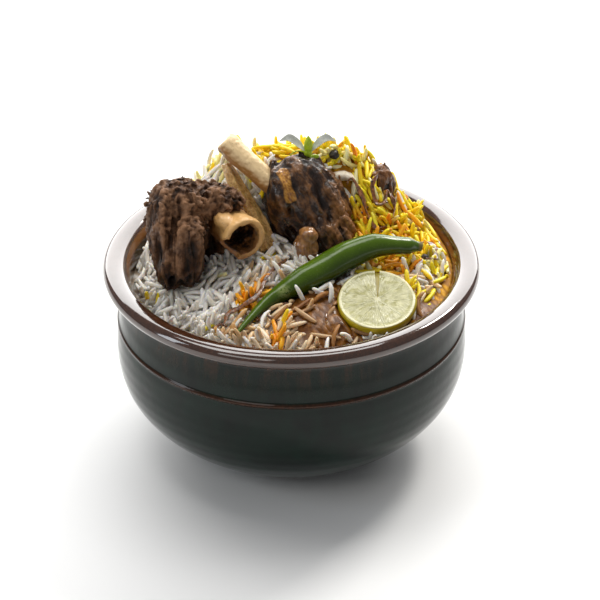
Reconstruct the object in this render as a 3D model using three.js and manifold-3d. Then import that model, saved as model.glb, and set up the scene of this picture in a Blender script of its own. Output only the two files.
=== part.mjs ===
// Mutton biryani heaped in the glazed stoneware handi bowl that holds it.
// Millimetres, +Z up. The origin is the centre of the foot, on the surface that the bowl stands on.
// The front of the dish, with the chilli and the lime slice, faces -Y.

import * as THREE from "three";
import { mergeVertices } from "three/addons/utils/BufferGeometryUtils.js";
import Module from "manifold-3d";

const wasm = await Module();
wasm.setup();

// Driving dimensions of the bowl.
const RIM_RADIUS = 85; // outside of the lip
const RIM_HEIGHT = 88.8; // height of the lip's widest circle
const LIP_CROWN = 2.2; // how far the lip's top rises above its widest circle
const LIP_EDGE = 3.6; // radius of the rounded outer edge of the lip
const EDGE_STEPS = 5; // facets round that edge, each a sixth of a half turn
const MOUTH_RADIUS = 73.3; // inside edge of the lip
const NECK_RADIUS = 76; // outside of the neck, under the lip
const NECK_HEIGHT = 78;
const BELLY_RADIUS = 79.4;
const BELLY_HEIGHT = 50.6;
const FOOT_RADIUS = 41;
const FOOT_RING = 9; // width of the unglazed ring that the bowl stands on
const FOOT_RECESS = 1.4;
const WALL = 5.6;
const FLOOR = 7.5;
const INSIDE_NECK = 71.6; // inside radius at the neck
const INSIDE_SHOULDER = 73.6; // inside radius behind the raised line
const SHOULDER_HEIGHT = 66; // height of that widest part of the inside
const BEAD_HEIGHT = 63.3; // the raised line round the shoulder
const BEAD_RADIUS = 78.2; // the shoulder that it stands on
const BEAD_RISE = 0.9;
const BEAD_HALF_WIDTH = 1.3;
const SEGMENTS = 32; // facets round the bowl and round the rice that fills it

// Driving dimensions of the heap of rice.
const FILL_HEIGHT = 80; // where the rice meets the wall at the front left
const FILL_LIFT = 7.5; // how much higher it meets the wall at the right
const BACK_LIFT = 3.2; // how much higher again at the back
const DOME_RISE = 13; // the broad rise to the middle
const RIDGE_RISE = 31; // the higher ridge that the meat leans on
const RIDGE_PLACE = 33; // its distance behind the middle
const RIDGE_HALF_DEPTH = 20;
const RIDGE_HALF_LENGTH = 52;
const TOP_RINGS = 8; // rings of facets over the heap
const SAFFRON_DEPTH = 12; // thickness of the saffron rice over the white
const SAFFRON_EDGE = 16; // distance of its front edge from the middle
const SAFFRON_SLOPE = 12; // width over which it thins out
const SAFFRON_SIDE = new THREE.Vector2(0.8, 0.6); // the side of the bowl that it fills

const GAP = 0.3; // clearance between pieces that lie on or in each other
const MERGE = 1e-3; // corners closer than this are one corner
const ROUND = 2 * Math.PI;
const LUMP_BLEND = 9; // how crisply the lumps of a chunk of meat meet: higher is crisper

// ---------------------------------------------------------------------------
// Solids
// ---------------------------------------------------------------------------

/** The closed geometry as a solid with its faces pointing outwards. */
function solidFrom(geometry) {
  const bare = geometry.index ? geometry.toNonIndexed() : geometry.clone();
  bare.deleteAttribute("normal");
  bare.deleteAttribute("uv");
  const merged = mergeVertices(bare, MERGE);
  const corners = merged.index.array;
  const whole = [];
  for (let i = 0; i < corners.length; i += 3) {
    const [a, b, c] = corners.slice(i, i + 3);
    if (a !== b && b !== c && a !== c) {
      whole.push([a, b, c]);
    }
  }
  const make = (triangles) =>
    new wasm.Manifold(
      new wasm.Mesh({
        numProp: 3,
        vertProperties: merged.attributes.position.array,
        triVerts: new Uint32Array(triangles.flat()),
      }),
    );
  const solid = make(whole);
  return solid.volume() > 0 ? solid : make(whole.map(([a, b, c]) => [a, c, b]));
}

/** A solid as three.js geometry. */
function geometryFrom(solid) {
  const { vertProperties, triVerts } = solid.getMesh();
  const geometry = new THREE.BufferGeometry();
  geometry.setAttribute("position", new THREE.BufferAttribute(vertProperties, 3));
  geometry.setIndex(new THREE.BufferAttribute(triVerts, 1));
  geometry.computeVertexNormals();
  return geometry;
}

/** The largest body of a solid, without the crumbs that a cut can leave. */
function mainBody(solid) {
  const bodies = solid.decompose();
  return bodies.reduce((best, body) => (body.volume() > best.volume() ? body : best));
}

/** Several closed geometries as one. */
function joined(...geometries) {
  return geometryFrom(geometries.map(solidFrom).reduce((whole, piece) => whole.add(piece)));
}

/** A profile of [radius, height] points turned about the Z axis. */
function turned(profile, segments) {
  const points = profile.map(([radius, height]) => new THREE.Vector2(radius, height));
  return new THREE.LatheGeometry(points, segments).rotateX(Math.PI / 2);
}

/** Points along a cubic curve, each point as [radius, height]. */
function curved(start, control, otherControl, end, steps) {
  const [a, b, c, d] = [start, control, otherControl, end].map((p) => new THREE.Vector2(...p));
  return new THREE.CubicBezierCurve(a, b, c, d).getPoints(steps).map((p) => p.toArray());
}

/** Moves each vertex of the geometry to where place() puts it. */
function reshaped(geometry, place) {
  const position = geometry.attributes.position;
  const vertex = new THREE.Vector3();
  for (let i = 0; i < position.count; i += 1) {
    place(vertex.fromBufferAttribute(position, i));
    position.setXYZ(i, ...vertex);
  }
  return geometry;
}

/** An ellipsoid with the given half sizes. */
function ellipsoid(x, y, z, around = 10, rings = 7) {
  return new THREE.SphereGeometry(1, around, rings).scale(x, y, z);
}

/**
 * A solid that follows a curve, with the half width and half thickness that section(t) gives as
 * [width, thickness] for t from 0 to 1, both enlarged by grow. Its thickness lies as near to +Z as
 * the curve allows, and twist turns it further, in whole turns from end to end.
 */
function swept(curve, section, grow, { sides = 8, steps = 16, twist = 0 } = {}) {
  const up = new THREE.Vector3(0, 0, 1);
  const tube = new THREE.CylinderGeometry(1, 1, 1, sides, steps);
  return reshaped(tube, (vertex) => {
    const t = 0.5 - vertex.y;
    const tangent = curve.getTangentAt(t);
    const side = new THREE.Vector3().crossVectors(tangent, up).normalize();
    const lift = new THREE.Vector3().crossVectors(side, tangent);
    const [width, thickness] = section(t);
    const turn = twist * ROUND * t;
    const across = vertex.x * (width + grow);
    const deep = vertex.z * (thickness + grow);
    const overrun = t <= 0 ? -grow : t >= 1 ? grow : 0;
    vertex
      .copy(curve.getPointAt(t))
      .addScaledVector(tangent, overrun)
      .addScaledVector(side, across * Math.cos(turn) - deep * Math.sin(turn))
      .addScaledVector(lift, across * Math.sin(turn) + deep * Math.cos(turn));
  });
}

/** How far a ray from the origin runs before it leaves an ellipsoid, or 0 if it misses. */
function exitDistance(direction, lump) {
  const [x, y, z] = lump.half;
  const scale = new THREE.Vector3(1 / x, 1 / y, 1 / z);
  const ray = direction.clone().multiply(scale);
  const start = new THREE.Vector3(...lump.at).negate().multiply(scale);
  const a = ray.lengthSq();
  const b = start.dot(ray);
  const inside = b * b - a * (start.lengthSq() - 1);
  return inside > 0 ? Math.max(0, (Math.sqrt(inside) - b) / a) : 0;
}

/**
 * One rounded body that blends several ellipsoids, {at, half}, round a heart at the origin.
 * relief(direction) adds the fibres and pits of its surface.
 */
function lumpy(lumps, grow, relief, around = 24, rings = 14) {
  return reshaped(new THREE.SphereGeometry(1, around, rings), (vertex) => {
    const direction = vertex.clone().normalize();
    const sum = lumps.reduce((total, lump) => total + exitDistance(direction, lump) ** LUMP_BLEND, 0);
    const reach = sum ** (1 / LUMP_BLEND);
    vertex.copy(direction).multiplyScalar(reach + relief(direction) + grow);
  });
}

// ---------------------------------------------------------------------------
// The bowl
// ---------------------------------------------------------------------------

/** The inside of the bowl from the middle of its floor up to its belly, drawn in by inset. */
function insideBelly(inset) {
  const radius = BELLY_RADIUS - WALL - inset;
  const floor = FLOOR + inset;
  const rise = curved([34, floor + 0.4], [58, floor + 6], [radius, 28], [radius, BELLY_HEIGHT], 4);
  return [[0, floor], ...rise];
}

/** The bowl: foot, belly, shoulder with a raised line, neck, broad rounded lip and plain inside. */
function bowlShape() {
  const foot = [
    [0, FOOT_RECESS],
    [FOOT_RADIUS - FOOT_RING - FOOT_RECESS, FOOT_RECESS],
    [FOOT_RADIUS - FOOT_RING, 0],
    [FOOT_RADIUS - 0.8, 0],
  ];
  const belly = curved([FOOT_RADIUS, 0.8], [64, 15], [BELLY_RADIUS, 26], [BELLY_RADIUS, BELLY_HEIGHT], 5);
  const bead = [-1, 0, 1].map((step) => [
    BEAD_RADIUS + BEAD_RISE * (1 - step * step),
    BEAD_HEIGHT + BEAD_HALF_WIDTH * step,
  ]);
  const shoulder = curved([77.9, 67], [77.4, 72], [NECK_RADIUS, 74], [NECK_RADIUS, NECK_HEIGHT], 2);
  const edge = [RIM_RADIUS - LIP_EDGE, RIM_HEIGHT];
  const underside = [edge[0] - 0.6, RIM_HEIGHT - LIP_EDGE];
  const underLip = curved([76.2, 80.5], [76.4, 84], [78.4, 85], underside, 2);
  const lipEdge = [];
  for (let step = 1; step <= EDGE_STEPS; step += 1) {
    const angle = -Math.PI / 2 + (step * Math.PI) / 6;
    lipEdge.push([edge[0] + LIP_EDGE * Math.cos(angle), edge[1] + LIP_EDGE * Math.sin(angle)]);
  }
  const crown = [
    [78.4, RIM_HEIGHT + LIP_CROWN + 0.8],
    [75, RIM_HEIGHT + LIP_CROWN - 0.9],
    [MOUTH_RADIUS, RIM_HEIGHT - 1],
    [MOUTH_RADIUS - 0.9, RIM_HEIGHT - 3.4],
  ];
  const insideNeck = [
    [INSIDE_NECK, NECK_HEIGHT],
    [INSIDE_SHOULDER, SHOULDER_HEIGHT],
  ];
  const profile = [
    ...foot, ...belly, ...bead, ...shoulder, ...underLip, ...lipEdge, ...crown, ...insideNeck,
    ...insideBelly(0).reverse(),
  ];
  return turned(profile, SEGMENTS);
}

// ---------------------------------------------------------------------------
// The rice
// ---------------------------------------------------------------------------

const RICE_WALL_RADIUS = INSIDE_NECK - GAP;

/** Height of the top of the whole heap above a point of the bowl. */
function heapTop(x, y) {
  const share = Math.min(1, Math.hypot(x, y) / RICE_WALL_RADIUS);
  const dome = DOME_RISE * (1 - share ** 2) ** 0.8;
  const along = Math.exp(-((Math.abs(x) / RIDGE_HALF_LENGTH) ** 5));
  const across = Math.exp(-(((y - RIDGE_PLACE) / RIDGE_HALF_DEPTH) ** 2));
  const ridge = RIDGE_RISE * along * across * (1 - share ** 12);
  const towardsSaffron = SAFFRON_SIDE.x * x + SAFFRON_SIDE.y * y;
  const backLift = BACK_LIFT * THREE.MathUtils.smoothstep(y, 5, 45);
  const lift = FILL_LIFT * THREE.MathUtils.smoothstep(towardsSaffron, -60, 30) + backLift;
  const uneven = Math.sin(x * 0.31 + 1) * Math.sin(y * 0.27) + 0.6 * Math.sin(x * 0.53 - y * 0.47);
  return FILL_HEIGHT + lift + dome + ridge + uneven * (1 - share ** 6);
}

/** Thickness of the saffron rice there; below zero where there is none. */
function saffronDepth(x, y) {
  const inward = SAFFRON_SIDE.dot(new THREE.Vector2(x, y)) - SAFFRON_EDGE;
  const wave = 3 * Math.sin(0.13 * (x - y));
  const share = Math.min(1, Math.hypot(x, y) / RICE_WALL_RADIUS);
  const depth = SAFFRON_DEPTH * (1 - 0.75 * share ** 6);
  return THREE.MathUtils.clamp((inward + wave) / SAFFRON_SLOPE, -0.15, 1) * depth;
}

/** Rice that fills the bowl up to the surface that top(x, y) gives, less a clearance at the wall. */
function riceShape(top, clearance, grow) {
  const inset = clearance - grow;
  const surface = [];
  for (let ring = 0; ring <= TOP_RINGS; ring += 1) {
    surface.push([RICE_WALL_RADIUS * (1 - ring / TOP_RINGS) + (ring ? 0 : grow), FILL_HEIGHT]);
  }
  const shoulder = [INSIDE_SHOULDER - inset, SHOULDER_HEIGHT];
  const below = [...insideBelly(inset), shoulder, [RICE_WALL_RADIUS + grow, NECK_HEIGHT]];
  return reshaped(turned([...below, ...surface], SEGMENTS), (vertex) => {
    if (vertex.z > FILL_HEIGHT - MERGE) {
      vertex.z = top(vertex.x, vertex.y) + grow;
    }
  });
}

/** The bed of white rice, out to its uneven outline. */
function whiteRice(grow) {
  const top = (x, y) => heapTop(x, y) - Math.max(0, saffronDepth(x, y));
  return riceShape(top, GAP, grow);
}

/** The saffron rice that lies over the white along the back and the right. */
function saffronRice() {
  const top = (x, y) => heapTop(x, y) + Math.min(0, saffronDepth(x, y));
  const heap = solidFrom(riceShape(top, GAP, 0));
  return geometryFrom(mainBody(heap.subtract(solidFrom(whiteRice(GAP)))));
}

/** A point on the heap at (x, y), raised by lift. */
function onHeap(x, y, lift = 0) {
  return new THREE.Vector3(x, y, heapTop(x, y) + lift);
}

// ---------------------------------------------------------------------------
// Meat and bones
// ---------------------------------------------------------------------------

/** The left chunk: an upright slab, a front lump, a shredded ridge on top and the mass behind. */
function leftMeat(grow) {
  const lumps = [
    { at: [-11, -3, -1], half: [9, 18, 20] },
    { at: [0, -13, -3], half: [11, 11, 19] },
    { at: [8, 2, 12], half: [24, 12, 9] },
    { at: [5, 8, -3], half: [20, 10, 19] },
  ];
  const grooves = (d) => 0.7 * Math.sin(26 * Math.atan2(d.y, d.x)) * (1 - d.z * d.z);
  const fibres = (d) => grooves(d) + 0.5 * Math.sin(17 * d.z);
  return lumpy(lumps, grow, fibres, 22, 12);
}

/** The middle chunk, off the shank: a tall rounded top and a bulge low on the right. */
function middleMeat(grow) {
  const lumps = [
    { at: [-3, 1, 1], half: [20, 15, 19] },
    { at: [-6, 3, 10], half: [14, 12, 14] },
    { at: [5, -6, -8], half: [15, 13, 12] },
  ];
  const folds = (d) => 0.9 * Math.sin(9 * d.x + 4 * d.z) * Math.sin(8 * d.y + 5 * d.z);
  return lumpy(lumps, grow, folds, 20, 11);
}

/** A small piece at the back, fluted down its side. */
function backMeat(grow) {
  const flutes = (d) => 0.5 * Math.sin(8 * Math.atan2(d.y, d.x)) * (1 - d.z * d.z);
  return lumpy([{ at: [0, 0, 0], half: [6.2, 7.5, 9.5] }], grow, flutes, 16, 7);
}

/** A knob of fat on the front of the middle chunk. */
function fatKnob(grow) {
  const lumps = [
    { at: [0, 0, -2], half: [4.6, 4.6, 7] },
    { at: [0.4, -0.6, 4], half: [4.2, 3.6, 3.6] },
  ];
  return lumpy(lumps, grow, () => 0, 10, 8);
}

const BONE_SEGMENTS = 16;
const MARROW_BONE = { radius: 10, bore: 7.2, depth: 17, length: 25 };

/** The sawn marrow bone: a tube with a blind bore, a knuckle on its side and a broken lower edge. */
function marrowBone(grow) {
  const { radius, bore, depth, length } = MARROW_BONE;
  const outside = [
    [0, -length - grow],
    [radius - 3 + grow, -length - grow],
    [radius - 1 + grow, -length * 0.75],
    [radius - 1.2 + grow, -length * 0.4],
    [radius + grow, -3],
    [radius - 0.4 + grow, grow],
  ];
  const knuckle = ellipsoid(4.8 + grow, 4 + grow, 6 + grow).translate(-8.2, 3.4, -9);
  if (grow) {
    return joined(turned([...outside, [0, grow]], BONE_SEGMENTS), knuckle);
  }
  const inside = [
    [bore + 0.5, 0],
    [bore, -1.2],
    [bore - 0.9, -depth + 2],
    [bore - 3, -depth],
    [0, -depth - 0.6],
  ];
  const tube = solidFrom(turned([...outside, ...inside], BONE_SEGMENTS)).add(solidFrom(knuckle));
  const bite = ellipsoid(7, 6.4, 8).translate(-6.4, -8.6, 1);
  const drilled = solidFrom(turned([[0, 2], ...inside.map(([r, z]) => [r, z ? z : 2])], BONE_SEGMENTS));
  return geometryFrom(mainBody(tube.subtract(drilled).subtract(solidFrom(bite))));
}

/** The shank bone: a shaft that widens to its sawn end, with a small pit in it. */
function shankBone(grow) {
  const length = 34;
  const profile = [
    [0, -length - grow],
    [4 + grow, -length - grow],
    [4.6 + grow, -length * 0.8],
    [4.7 + grow, -12],
    [5.3 + grow, -3],
    [5.2 + grow, -0.8],
    [4.6 + grow, grow],
  ];
  const pit = grow ? [] : [[2, 0], [1.6, -1.8]];
  return turned([...profile, ...pit, [0, pit.length ? -2.2 : grow]], BONE_SEGMENTS - 4);
}

/** The flat sinew that leaves the shank bone's end and fans out down into the rice. */
function sinewStrip(grow) {
  const run = new THREE.CatmullRomCurve3([
    new THREE.Vector3(-29.5, 17.5, 131),
    new THREE.Vector3(-25, 12.5, 124),
    new THREE.Vector3(-19.5, 7.5, 115),
    new THREE.Vector3(-13.5, 2, 105),
    new THREE.Vector3(-10.5, -1, 97),
  ]);
  const section = (t) => [2.4 + 3.4 * Math.sin(2.4 * t), 1.5 + 0.4 * t];
  return swept(run, section, grow, { sides: 6, steps: 8, twist: 0.08 });
}

// ---------------------------------------------------------------------------
// Chilli, lime and garnish
// ---------------------------------------------------------------------------

/** The whole green chilli: a thin tail at the front, a full middle and a cut stem end. */
function chilli(grow) {
  const run = new THREE.CatmullRomCurve3([
    new THREE.Vector3(-24.3, -58.2, 88),
    new THREE.Vector3(-18.1, -48, 90),
    new THREE.Vector3(-11.6, -38.8, 91.6),
    new THREE.Vector3(-4, -33, 94.4),
    new THREE.Vector3(4.5, -28.4, 97.2),
    new THREE.Vector3(15, -22.2, 100),
    new THREE.Vector3(26, -16.6, 103),
    new THREE.Vector3(36.8, -12.6, 105),
    new THREE.Vector3(47, -10.6, 104.4),
    new THREE.Vector3(56.8, -7.4, 102.4),
  ]);
  const thin = 0.7;
  const full = 6;
  const section = (t) => {
    const tail = Math.min(1, t / 0.46);
    const head = Math.min(1, (1 - t) / 0.5);
    const radius = thin + (full - thin) * tail ** 1.25 * (1 - 0.62 * (1 - head) ** 2.2);
    return [radius, radius];
  };
  return swept(run, section, grow, { sides: 8, steps: 14 });
}

const LIME = { radius: 17.6, thickness: 8 };

/** A thick end slice of lime, its rind drawn in towards the back, slit from the edge to the heart. */
function limeSlice(grow) {
  const { radius, thickness } = LIME;
  const profile = [
    [0, -thickness - grow],
    [radius * 0.68 + grow, -thickness - grow],
    [radius * 0.82 + grow, -thickness + 0.9],
    [radius * 0.94 + grow, -thickness * 0.55],
    [radius + grow, -1.4],
    [radius - 0.7 + grow, grow],
    [0, grow],
  ];
  const disc = turned(profile, 24);
  if (grow) {
    return disc;
  }
  const slit = new THREE.Shape();
  slit.moveTo(0.3, 1.2);
  slit.lineTo(1.5, radius + 2);
  slit.lineTo(-0.7, radius + 2);
  const wedge = new THREE.ExtrudeGeometry(slit, { depth: thickness, bevelEnabled: false });
  wedge.translate(0, 0, -thickness * 0.45);
  return geometryFrom(solidFrom(disc).subtract(solidFrom(wedge)));
}

/** A strand of fried onion along places on the heap, each [x, y, height over the rice]. */
function onionStrand(places, halfWidth, halfThickness, twist) {
  return (grow) => {
    const points = places.map(([x, y, lift]) => onHeap(x, y, lift));
    const run = new THREE.CatmullRomCurve3(points);
    const section = (t) => {
      const taper = 0.55 + 0.45 * Math.sin(Math.PI * Math.min(0.94, Math.max(0.06, t)));
      const wave = 1 + 0.18 * Math.sin(19 * t);
      return [halfWidth * taper * wave, halfThickness];
    };
    return swept(run, section, grow, { sides: 5, steps: 2 * places.length + 2, twist });
  };
}

/** A split cashew: a short curved crescent. */
function cashew(grow) {
  const run = new THREE.CatmullRomCurve3([
    new THREE.Vector3(-5, -1.6, 0),
    new THREE.Vector3(-2.6, 1, 0.4),
    new THREE.Vector3(1.6, 1.2, 0.4),
    new THREE.Vector3(5, -1.4, 0),
  ]);
  const section = (t) => {
    const radius = 0.5 + 2.4 * Math.sin(Math.PI * t) ** 0.5;
    return [radius, radius * 0.8];
  };
  return swept(run, section, grow, { sides: 6, steps: 6 });
}

/** A leaf that leaves the sprig sideways and curls over. */
function leaf(side, grow) {
  const run = new THREE.CatmullRomCurve3([
    new THREE.Vector3(0.6 * side, 0, 2.4),
    new THREE.Vector3(4.2 * side, 0.5, 6.6),
    new THREE.Vector3(8.6 * side, 1, 9.2),
    new THREE.Vector3(12.6 * side, 1.2, 8),
  ]);
  const section = (t) => [0.35 + 1.4 * Math.sin(Math.PI * t ** 0.8), 0.42];
  return swept(run, section, grow, { sides: 4, steps: 6 });
}

/** The herb sprig: a short stalk, a pointed bud and two narrow leaves. */
function herbSprig(grow) {
  const stalk = new THREE.CatmullRomCurve3([
    new THREE.Vector3(3.6, -1.6, -1.2),
    new THREE.Vector3(1.4, -0.6, 0.2),
    new THREE.Vector3(0, 0, 2.4),
    new THREE.Vector3(0.2, 0.1, 5),
  ]);
  const stem = swept(stalk, () => [1.1, 1.1], grow, { sides: 6, steps: 4 });
  const bud = ellipsoid(1.9 + grow, 1.6 + grow, 4.2 + grow, 8, 6).translate(0.2, 0.1, 6.4);
  return joined(stem, bud, leaf(-1, grow), leaf(1, grow));
}

// ---------------------------------------------------------------------------
// Places
// ---------------------------------------------------------------------------

/** A place in the bowl: a point, and the direction of the piece's own Z axis. */
function pose(x, y, z, direction = [0, 0, 1]) {
  const up = new THREE.Vector3(0, 0, 1);
  const axis = new THREE.Vector3(...direction).normalize();
  const turn = new THREE.Quaternion().setFromUnitVectors(up, axis);
  const size = new THREE.Vector3(1, 1, 1);
  return new THREE.Matrix4().compose(new THREE.Vector3(x, y, z), turn, size);
}

const LIME_TILT = THREE.MathUtils.degToRad(17);
const IN_BOWL = pose(0, 0, 0);

const finishes = {
  glaze: { color: 0x16211b, roughness: 0.15 },
  whiteRice: { color: 0xe2dcd2, roughness: 0.5 },
  saffronRice: { color: 0xf0d22c, roughness: 0.5 },
  meat: { color: 0x4a2f1c, roughness: 0.45 },
  bone: { color: 0xd9bd8c, roughness: 0.5 },
  sinew: { color: 0xc49a55, roughness: 0.35 },
  fat: { color: 0x7a4a1c, roughness: 0.3 },
  chilli: { color: 0x4f7d1a, roughness: 0.25 },
  lime: { color: 0xc8cf8e, roughness: 0.4 },
  onion: { color: 0x5e3618, roughness: 0.4 },
  cashew: { color: 0xe8dcc4, roughness: 0.5 },
  herb: { color: 0x9bbf2e, roughness: 0.45 },
};

// Firm pieces come first: each piece gives way to those before it, as rice gives way to meat.
const pieces = [
  { group: "dish", name: "bowl", finish: "glaze", place: IN_BOWL, shape: bowlShape },
  {
    group: "meat",
    name: "marrow_bone",
    finish: "bone",
    place: pose(-20.4, -18.5, 112.6, [0.452, -0.893, 0.02]),
    shape: marrowBone,
  },
  {
    group: "meat",
    name: "shank_bone",
    finish: "bone",
    place: pose(-29.6, 20.5, 139.2, [-0.74, 0.34, 0.58]),
    shape: shankBone,
  },
  { group: "meat", name: "fat_knob", finish: "fat", place: pose(8, -7.4, 105.4), shape: fatKnob },
  { group: "meat", name: "sinew_strip", finish: "sinew", place: IN_BOWL, shape: sinewStrip },
  { group: "meat", name: "meat_left", finish: "meat", place: pose(-46, -5, 110), shape: leftMeat },
  { group: "meat", name: "meat_middle", finish: "meat", place: pose(9, 11, 112), shape: middleMeat },
  { group: "meat", name: "meat_back", finish: "meat", place: pose(41, 31, 112.5), shape: backMeat },
  { group: "garnish", name: "chilli", finish: "chilli", place: IN_BOWL, shape: chilli },
  {
    group: "garnish",
    name: "lime_slice",
    finish: "lime",
    place: pose(37.8, -38.2, 94, [0, -Math.sin(LIME_TILT), Math.cos(LIME_TILT)]),
    shape: limeSlice,
  },
  { group: "garnish", name: "cashew", finish: "cashew", place: pose(23.2, 21.6, 121.4), shape: cashew },
  { group: "garnish", name: "herb_sprig", finish: "herb", place: pose(7.4, 18, 134), shape: herbSprig },
  {
    group: "garnish",
    name: "onion_long",
    finish: "onion",
    place: IN_BOWL,
    shape: onionStrand(
      [[-2, -17, 0.6], [-10, -25, 0.5], [-15, -37, 0.4], [-22, -43, 0.6], [-28, -45, 0.4],
        [-30, -56, 0]],
      1.2, 0.8, 0.6,
    ),
  },
  {
    group: "garnish",
    name: "onion_short",
    finish: "onion",
    place: IN_BOWL,
    shape: onionStrand([[-34.5, -51, 0.2], [-31.6, -50.4, 1.2], [-28.4, -50.6, 0.2]], 1.1, 0.8, 0.3),
  },
  {
    group: "garnish",
    name: "onion_ribbon",
    finish: "onion",
    place: IN_BOWL,
    shape: onionStrand(
      [[25, 17.5, 1], [27.5, 19, 0.8], [31.5, 15.5, 0.8], [34, 10.5, 0.6], [38, 5.5, 0.8],
        [41, 3.5, 0.4]],
      1.3, 0.8, 0.4,
    ),
  },
  {
    group: "garnish",
    name: "onion_curl",
    finish: "onion",
    place: IN_BOWL,
    shape: onionStrand(
      [[39, 23, 0.3], [36.6, 18.5, 1.4], [38.5, 14, 1.6], [42, 15.5, 1.2], [43, 20.5, 1.4],
        [46.5, 18.5, 0.6], [46, 12, 0.2]],
      1.5, 0.9, 0.5,
    ),
  },
  {
    group: "garnish",
    name: "onion_loop",
    finish: "onion",
    place: IN_BOWL,
    shape: onionStrand(
      [[58.5, 5.5, 0.2], [62, 7.5, 1.2], [64.6, 2.5, 1.6], [64.4, -4, 1.2], [60.4, -6.2, 0.2]],
      1.5, 0.9, 0.4,
    ),
  },
  { group: "rice", name: "rice_saffron", finish: "saffronRice", place: IN_BOWL, shape: saffronRice },
  { group: "rice", name: "rice_white", finish: "whiteRice", place: IN_BOWL, shape: whiteRice },
];

/** The piece's solid where it lies, enlarged by grow. */
function placedSolid(piece, grow) {
  return solidFrom(piece.shape(grow).applyMatrix4(piece.place));
}

/** The piece's mesh, cut back from the firmer pieces that lie in it. */
function settledMesh(piece, firmer) {
  let solid = placedSolid(piece, 0);
  for (const other of firmer) {
    if (other.grown && solid.intersect(other.grown).volume() > 0) {
      solid = mainBody(solid.subtract(other.grown));
    }
  }
  const geometry = geometryFrom(solid).applyMatrix4(piece.place.clone().invert());
  const mesh = new THREE.Mesh(geometry, new THREE.MeshStandardMaterial(finishes[piece.finish]));
  mesh.name = piece.name;
  mesh.applyMatrix4(piece.place);
  return mesh;
}

const biryani = new THREE.Group();
const groups = new Map();
for (const name of new Set(pieces.map((piece) => piece.group))) {
  groups.set(name, new THREE.Group());
  biryani.add(groups.get(name));
}
pieces.forEach((piece, order) => {
  groups.get(piece.group).add(settledMesh(piece, pieces.slice(0, order)));
  if (![bowlShape, saffronRice, whiteRice].includes(piece.shape)) {
    piece.grown = placedSolid(piece, GAP);
  }
});

export default biryani;
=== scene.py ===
"""Looks of a mutton biryani heaped in the glazed stoneware bowl that holds it.

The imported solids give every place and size, and this script dresses them: the glaze of the bowl,
separate grains of rice over a smaller bed, fibrous meat on sawn bones, a chilli, a lime slice,
fried onion, peppercorns, a cashew, a herb sprig and gravy. Metres, +Z up; the front of the dish faces -Y.
"""

import itertools
import logging
import math
from dataclasses import dataclass, field
from enum import Enum
from typing import Any, Callable, Mapping, Sequence

import bpy
import numpy as np
from mathutils import Matrix, Vector
from mathutils.bvhtree import BVHTree


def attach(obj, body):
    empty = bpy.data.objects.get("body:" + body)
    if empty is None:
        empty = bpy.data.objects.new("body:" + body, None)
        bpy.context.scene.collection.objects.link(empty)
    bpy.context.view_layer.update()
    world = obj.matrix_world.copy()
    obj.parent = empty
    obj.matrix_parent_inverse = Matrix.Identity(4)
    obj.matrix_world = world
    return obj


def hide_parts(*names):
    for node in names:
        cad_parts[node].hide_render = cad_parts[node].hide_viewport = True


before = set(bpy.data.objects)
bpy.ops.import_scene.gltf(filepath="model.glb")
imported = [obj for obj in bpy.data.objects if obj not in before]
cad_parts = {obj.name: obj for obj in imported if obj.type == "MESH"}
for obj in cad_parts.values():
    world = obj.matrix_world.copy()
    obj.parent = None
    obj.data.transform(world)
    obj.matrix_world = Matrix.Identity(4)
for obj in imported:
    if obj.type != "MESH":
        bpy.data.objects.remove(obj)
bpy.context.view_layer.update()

log = logging.getLogger("biryani")

MM = 0.001
LYING = (0, math.pi / 2, 0)  # the turn that lays a shape's Z axis along X
Pair = tuple[float, float]
Point = tuple[float, float, float]
Colour = tuple[float, float, float]
Array = np.ndarray
Piece = bpy.types.Object
Material = bpy.types.Material


class Slot(str, Enum):
    """The material slots."""

    GLAZE = "glaze"
    WHITE_RICE = "white_rice"
    SAFFRON_RICE = "saffron_rice"
    MEAT = "meat"
    BONE = "bone"
    SINEW = "sinew"
    FAT = "fat"
    CHILLI = "chilli"
    LIME = "lime"
    ONION = "onion"
    CASHEW = "cashew"
    HERB = "herb"


# ---- Shader graph ----


class Signal:
    """One output of a shader node, which takes part in plain arithmetic."""

    def __init__(self, graph: "Graph", socket: bpy.types.NodeSocket) -> None:
        """Wraps a socket of the graph."""
        self.graph = graph
        self.socket = socket

    def math(self, operation: str, *operands: Any) -> "Signal":
        """One Math node on the operands."""
        return self.graph.node("ShaderNodeMath", {"operation": operation}, dict(enumerate(operands)))

    def sibling(self, name: str) -> "Signal":
        """Another output of the same node."""
        return Signal(self.graph, self.socket.node.outputs[name])

    def __add__(self, other: Any) -> "Signal":
        """self + other."""
        return self.math("ADD", self, other)

    def __radd__(self, other: Any) -> "Signal":
        """other + self."""
        return self.math("ADD", other, self)

    def __sub__(self, other: Any) -> "Signal":
        """self - other."""
        return self.math("SUBTRACT", self, other)

    def __rsub__(self, other: Any) -> "Signal":
        """other - self."""
        return self.math("SUBTRACT", other, self)

    def __mul__(self, other: Any) -> "Signal":
        """self * other."""
        return self.math("MULTIPLY", self, other)

    def __rmul__(self, other: Any) -> "Signal":
        """other * self."""
        return self.math("MULTIPLY", other, self)

    def __truediv__(self, other: Any) -> "Signal":
        """self / other."""
        return self.math("DIVIDE", self, other)

    def __abs__(self) -> "Signal":
        """The size of self."""
        return self.math("ABSOLUTE", self)

    def sine(self) -> "Signal":
        """The sine of self."""
        return self.math("SINE", self)

    def root(self) -> "Signal":
        """The square root of self."""
        return self.math("SQRT", self)

    def step(self, low: float, high: float) -> "Signal":
        """A smooth step from 0 at low to 1 at high, or falling where high is below low.

        Args:
            low: where the step starts.
            high: where it ends.

        Returns:
            The step.
        """
        settings = {"interpolation_type": "SMOOTHSTEP"}
        if low < high:
            return self.graph.node("ShaderNodeMapRange", settings, {0: self, 1: low, 2: high})
        return 1 - self.graph.node("ShaderNodeMapRange", settings, {0: self, 1: high, 2: low})


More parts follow.
